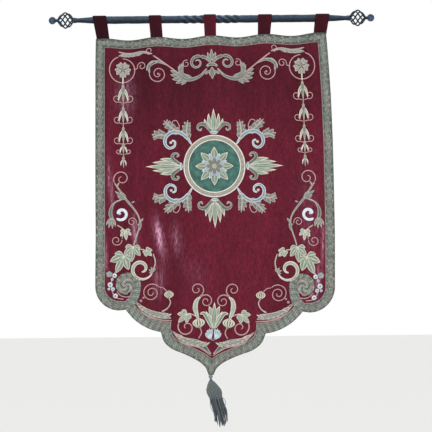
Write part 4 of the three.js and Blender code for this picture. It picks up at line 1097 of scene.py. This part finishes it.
# Tabs
def tab(row, index, material):
    """A strip looped over the rod, its two legs drawn together behind the panel's top edge."""
    seat, edge = row["seat"], row["edge"]
    radius = seat + TAB_STANDOFF
    arc_angles = np.linspace(math.pi + 0.42, -0.42, 22)
    over = np.column_stack([radius * np.cos(arc_angles), radius * np.sin(arc_angles)])
    leg = [(-1.35, edge - TAB_TAIL), (-1.35, edge), (-2.6, edge * 0.84), (-5.4, edge * 0.66),
           (-9.6, edge * 0.4)]
    back = [(-y, z) for y, z in reversed(leg)]
    path = smooth([(y - 0.2, z) for y, z in [*leg, *over.tolist(), *back]], 2.4)
    out = normals(path)
    w = np.linspace(-0.5, 0.5, 17)
    top_z = seat + 2
    part = (top_z - path[:, 1]) / (top_z - edge + TAB_TAIL)
    centre = row["top_x"] + (row["end_x"] - row["top_x"]) * part
    width = row["top_w"] + (row["end_w"] - row["top_w"]) * part
    rest = np.clip(part * (1 - part) * 4, 0, 1)[:, None]
    crease = rest * (0.55 * np.sin(9 * w + index * 1.7) + 0.35 * np.sin(21 * w + index) * (path[:, 1:2] / 60))
    edges = 1 - np.abs(w * 2) ** 8
    front = np.sign(path[:, :1] + 0.2)

    def surface(way):
        off = way * TAB_HALF_THICK * edges + crease * -front * 0.6
        y = path[:, :1] + out[:, :1] * off
        z = path[:, 1:] + out[:, 1:] * off
        x = centre[:, None] + width[:, None] * w
        return np.dstack([x, y, z]) * MM

    length = lengths_along(path)
    threads = np.dstack(np.broadcast_arrays(w[None, :] * width[:, None], length[:, None])) * MM
    # painted shade over the rod, lighter down the legs, and a painted highlight along the right edge
    painted_tab_light = 0.75 + 0.25 * np.clip(-path[:, 1:2] / 60 + 0.6, 0, 1) + 0.25 * (w + 0.5) ** 3
    dyes = np.array(TAB_REDS_PAINTED_LIGHT[index]) * painted_tab_light[..., None]
    piece = Gathered()
    piece.shell(surface(1), surface(-1), dyes, threads, placed=True)
    strip = piece.to_object(row["name"] + "_velvet", material, "tab_velvet", [row["name"]])
    return strip


# Tassel
KNOT = [(-1137.6, 4.2), (-1139, 5.8), (-1141.5, 6.8), (-1144, 6.7), (-1146.5, 5.2), (-1149.4, 3.6)]
HEAD = [(-1149.8, 3.6), (-1153, 4.6), (-1158, 7.6), (-1167, 13.4), (-1176, 18.8), (-1186, 23.2),
        (-1194, 23.4), (-1204, 21.5), (-1214, 18.5)]
NET_CORDS = 12
LOCKS = 17
STRANDS_IN_LOCK = 10
LOCK_SPREAD = 20.5
LOCK_TURN = 2.4
SKIRT_TOP = -1203
SKIRT_END = -1304
TASSEL_Y = float(hang(0, POINT[1], -PANEL_THICK / 2)[1]) / MM


def axis_x(z):
    return np.interp(z, TASSEL_Z, TASSEL_X)


def round_form(piece, rows, dye, wrap=0.0):
    """A turned form about the tassel's axis, from rows of z and radius, with a yarn wound round it."""
    sides = 32
    angles = round_angles(sides)
    rings = []
    for z, radius in smooth(rows, 1.2):
        reach = radius + wrap * np.sin(z * 3.2 + angles)
        rings.append(np.column_stack([axis_x(z) + reach * np.cos(angles), TASSEL_Y + reach * np.sin(angles),
                                      np.full(sides, z)]))
    piece.tube(np.array(rings) * MM, dye)


def net(piece):
    """Cords laid in diamonds over the lower part of the tassel's head."""
    z = np.linspace(HEAD[2][0], HEAD[-1][0] + 6, 26)
    radius = np.interp(-z, [-row[0] for row in HEAD], [row[1] for row in HEAD]) + 0.7
    for way in (-1, 1):
        for index in range(NET_CORDS):
            angle = 2 * math.pi * index / NET_CORDS + way * (z - z[0]) / 24
            line = np.column_stack([axis_x(z) + radius * np.cos(angle), TASSEL_Y + radius * np.sin(angle), z])
            sweep(piece, line, np.full(len(z), 0.9), np.array(YARN_HEAD) * 0.9)


def lock(piece, index):
    """A lock of strands that share one direction, wave and tip, each a little apart."""
    angle = LOCK_TURN * index
    reach = LOCK_SPREAD * math.sqrt((index + 0.6) / LOCKS)
    side = math.cos(angle) * reach / LOCK_SPREAD
    tip = -1303 + 24 * abs(side) ** 1.4 + 19 * RANDOM.random() ** 1.6
    swing, phase = 1.2 + 1.6 * RANDOM.random(), 6 * RANDOM.random()
    part = np.linspace(0, 1, 15)
    for _ in range(STRANDS_IN_LOCK):
        off_x, off_y = RANDOM.normal(0, 2.1, 2)
        end = max(tip + RANDOM.normal(0, 4), SKIRT_END)
        z = SKIRT_TOP + (end - SKIRT_TOP) * part
        bend = swing * np.sin(5.5 * part + phase) * part
        close = 1.1 - 0.95 * part**2 + 0.5 * RANDOM.random() * part**3
        x = axis_x(z) + reach * math.cos(angle) * (1 + 0.2 * part) + off_x * close + bend
        y = TASSEL_Y + reach * math.sin(angle) * 0.9 + off_y * close + 0.6 * bend
        radii = np.linspace(1.3, 0.75, 15)
        shade = 0.4 + 0.8 * RANDOM.random() * (1.1 - 0.3 * (angle % 1))
        sweep(piece, np.column_stack([x, y, z]), radii, np.array(YARN) * shade, sides=5)


def loose_loop(piece, rows):
    line = smooth([[x, z, y] for x, y, z in rows], 2)
    sweep(piece, line[:, [0, 2, 1]], np.full(len(line), 0.9), np.array(YARN) * 1.3, sides=5)


def tassel(material):
    knot = Gathered()
    round_form(knot, KNOT, YARN_HEAD, wrap=0.35)
    knot.to_object("tassel_knot_wound", material, "tassel_yarn", ["tassel_knot"])
    piece = Gathered()
    round_form(piece, HEAD, np.array(YARN) * 0.8)
    net(piece)
    for index in range(LOCKS):
        lock(piece, index)
    loose_loop(piece, [(18, TASSEL_Y - 12, -1206), (30, TASSEL_Y - 14, -1214), (34, TASSEL_Y - 13, -1228),
                       (27, TASSEL_Y - 12, -1240), (20, TASSEL_Y - 10, -1236)])
    loose_loop(piece, [(-14, TASSEL_Y - 12, -1212), (-15, TASSEL_Y - 13, -1232), (-7, TASSEL_Y - 12, -1252),
                       (2, TASSEL_Y - 10, -1262)])
    return piece.to_object("tassel_stranded", material, "tassel_yarn", ["tassel"])


# Materials
class Finish:
    """A node material that starts with a Principled shader."""

    def __init__(self, name, roughness=0.6, metallic=0.0, specular=0.3):
        self.material = bpy.data.materials.new(name)
        self.material.use_nodes = True
        self.tree = self.material.node_tree
        self.shader = self.tree.nodes["Principled BSDF"]
        self.shader.inputs["Roughness"].default_value = roughness
        self.shader.inputs["Metallic"].default_value = metallic
        self.shader.inputs["Specular IOR Level"].default_value = specular

    def feed(self, socket, value):
        """Link a socket or set a value."""
        if isinstance(value, bpy.types.NodeSocket):
            self.tree.links.new(value, socket)
        else:
            socket.default_value = value

    def node(self, kind, **inputs):
        made = self.tree.nodes.new(kind)
        for name, value in inputs.items():
            self.feed(made.inputs[name.replace("_", " ")], value)
        return made

    def attribute(self, name):
        made = self.node("ShaderNodeAttribute")
        made.attribute_name = name
        return made.outputs

    def thread(self, across, along):
        """The thread map, scaled to repeats in each metre."""
        place = self.node("ShaderNodeUVMap")
        place.uv_map = "thread"
        scaled = self.node("ShaderNodeMapping", Vector=place.outputs["UV"], Scale=(across, along, 1))
        return scaled.outputs["Vector"]

    def ramp(self, value, low, high, bright_low, bright_high):
        made = self.node("ShaderNodeMapRange", Value=value, From_Min=low, From_Max=high, To_Min=bright_low,
                         To_Max=bright_high)
        return made.outputs["Result"]

    def math(self, operation, first, second):
        made = self.node("ShaderNodeMath")
        made.operation = operation
        self.feed(made.inputs[0], first)
        self.feed(made.inputs[1], second)
        return made.outputs["Value"]

    def times(self, first, second):
        return self.math("MULTIPLY", first, second)

    def dyed(self, factor):
        """The piece's own dye times a grey factor."""
        made = self.node("ShaderNodeVectorMath")
        made.operation = "SCALE"
        self.feed(made.inputs[0], self.attribute("dye")["Color"])
        self.feed(made.inputs["Scale"], factor)
        return made.outputs["Vector"]

    def colour(self, socket):
        self.feed(self.shader.inputs["Base Color"], socket)

    def bump(self, height, strength, distance):
        made = self.node("ShaderNodeBump", Height=height, Strength=strength, Distance=distance)
        self.feed(self.shader.inputs["Normal"], made.outputs["Normal"])


# A wave texture of scale 1 repeats after this length
WAVE_TURN = 0.314


def wave(finish, period):
    """Stitches across the thread, one in each period in metres."""
    made = finish.node("ShaderNodeTexWave", Vector=finish.thread(1, 1), Scale=WAVE_TURN / period, Detail=1.0)
    made.bands_direction = "X"
    return made.outputs["Fac"]


def noise(finish, vector, scale, detail=3.0):
    return finish.node("ShaderNodeTexNoise", Vector=vector, Scale=scale, Detail=detail).outputs["Fac"]


def thread_finish():
    """Satin-stitched metal thread: fine parallel stitches, tarnished a little."""
    finish = Finish("stitched_thread", roughness=0.48, metallic=0.25, specular=0.5)
    stitches = wave(finish, 0.0015)
    tarnish = noise(finish, finish.thread(1, 1), 70)
    shade = finish.times(finish.ramp(stitches, 0, 1, 0.72, 1.12), finish.ramp(tarnish, 0.3, 0.7, 0.82, 1.1))
    finish.colour(finish.dyed(shade))
    finish.bump(stitches, 0.5, 0.0004)
    return finish.material


def braid_finish():
    finish = Finish("woven_braid", roughness=0.55, metallic=0.3, specular=0.4)
    warp = wave(finish, 0.0021)
    mottle = noise(finish, finish.thread(1, 1), 120, 4)
    shade = finish.times(finish.ramp(warp, 0, 1, 0.84, 1.08), finish.ramp(mottle, 0.3, 0.7, 0.72, 1.22))
    finish.colour(finish.dyed(shade))
    finish.bump(finish.math("ADD", warp, mottle), 0.45, 0.0005)
    return finish.material


def velvet_finish(name, sheen, laid=False):
    """Pile with short streaks along the nap, with wear in patches, and a painted pale sheen where a piece
    marks its pile as laid flat.
    """
    finish = Finish(name, roughness=0.85, specular=0.12)
    finish.shader.inputs["Sheen Weight"].default_value = sheen
    finish.shader.inputs["Sheen Roughness"].default_value = 0.4
    finish.shader.inputs["Sheen Tint"].default_value = (*PILE_SHEEN, 1)
    streaks = noise(finish, finish.thread(330, 60), 1.0, 3)
    patches = noise(finish, finish.thread(70, 16), 1.0, 3)
    weave = noise(finish, finish.thread(60, 330), 1.0, 2)
    shade = finish.ramp(streaks, 0.35, 0.65, 0.76, 1.26)
    shade = finish.times(shade, finish.ramp(patches, 0.3, 0.7, 0.84, 1.16))
    colour = finish.dyed(finish.times(shade, finish.ramp(weave, 0.35, 0.65, 0.86, 1.14)))
    if laid:
        # painted sheen: laid pile is mixed towards a pale pink
        shine = finish.times(finish.attribute("laid")["Fac"], finish.ramp(streaks, 0.38, 0.6, 0.25, 1.5))
        blend = finish.node("ShaderNodeMix")
        blend.data_type = "RGBA"
        for key, value in (("Factor", shine), (6, colour), (7, (*CRUSHED_SHEEN, 1))):
            finish.feed(blend.inputs[key], value)
        colour = blend.outputs[2]
    finish.colour(colour)
    finish.bump(streaks, 0.5, 0.001)
    return finish.material


def iron_finish():
    finish = Finish("forged_iron", roughness=0.5, metallic=0.35, specular=0.3)
    place = finish.node("ShaderNodeTexCoord").outputs["Object"]
    marks = noise(finish, place, 90, 3)
    scale = noise(finish, place, 30, 2)
    shade = finish.times(finish.ramp(marks, 0.3, 0.7, 0.7, 1.35), finish.ramp(scale, 0.3, 0.7, 0.8, 1.2))
    finish.colour(finish.dyed(shade))
    finish.bump(marks, 0.35, 0.001)
    return finish.material


def yarn_finish():
    finish = Finish("tassel_yarn", roughness=0.75, specular=0.25)
    finish.shader.inputs["Sheen Weight"].default_value = 0.2
    twist = wave(finish, 0.0022)
    finish.colour(finish.dyed(finish.ramp(twist, 0, 1, 0.75, 1.2)))
    finish.bump(twist, 0.4, 0.0004)
    return finish.material


# Camera, light and floor
def camera():
    lens = bpy.data.cameras.new("camera")
    lens.sensor_width = SENSOR
    lens.lens = SENSOR * CAMERA_FAR / VIEW_WIDTH
    lens.clip_end = 60
    eye = add_object("camera", lens)
    right = Vector((math.cos(VIEW_ROLL), 0, -math.sin(VIEW_ROLL)))
    up = Vector((math.sin(VIEW_ROLL), 0, math.cos(VIEW_ROLL)))
    back = Vector((0, -1, 0))
    turn = Matrix((right, up, back)).transposed().to_4x4()
    eye.matrix_world = Matrix.Translation(Vector((VIEW_X, -CAMERA_FAR, VIEW_Z)) * MM) @ turn
    bpy.context.scene.camera = eye


# Lights and floor in metres, powers in watts
LIGHTS = table("name place size power", ("key", (-1.6, -2.6, 1.1), 2.2, 52),
               ("fill", (2.0, -2.4, -0.4), 2.4, 24), ("rear", (0.6, 2.6, 0.8), 2.0, 30))
FLOOR_Z = -2.3
FLOOR_REACH = 20


def studio():
    world = bpy.data.worlds.new("studio")
    world.use_nodes = True
    world.node_tree.nodes["Background"].inputs["Color"].default_value = (1, 1, 1, 1)
    world.node_tree.nodes["Background"].inputs["Strength"].default_value = 1.0
    bpy.context.scene.world = world
    bpy.context.scene.view_settings.view_transform = "Standard"
    middle = Vector((0, 0, -0.6))
    for row in LIGHTS:
        lamp = bpy.data.lights.new(row["name"], "AREA")
        lamp.size = row["size"]
        lamp.energy = row["power"]
        holder = add_object(row["name"], lamp)
        holder.location = row["place"]
        holder.rotation_euler = (middle - holder.location).to_track_quat("-Z", "Y").to_euler()
    mesh = bpy.data.meshes.new("floor")
    corners = ((-1, -1), (1, -1), (1, 1), (-1, 1))
    mesh.from_pydata([(x * FLOOR_REACH, y * FLOOR_REACH, FLOOR_Z) for x, y in corners], [], [(0, 1, 2, 3)])
    floor = add_object("floor", mesh)
    pale = Finish("pale_floor", roughness=0.9)
    pale.shader.inputs["Base Color"].default_value = (0.82, 0.82, 0.81, 1)
    mesh.materials.append(pale.material)


# Assembly
camera()
studio()
iron = iron_finish()
stitched = thread_finish()
rod(iron)
finials(iron)
tab_velvet = velvet_finish("tab_velvet", 0.05)
for number, row in enumerate(TABS):
    tab(row, number, tab_velvet)
panel = velvet_panel(velvet_finish("panel_velvet", 0.2, laid=True))
trim = borders(braid_finish()) + embroidery(stitched)
tassel(yarn_finish())
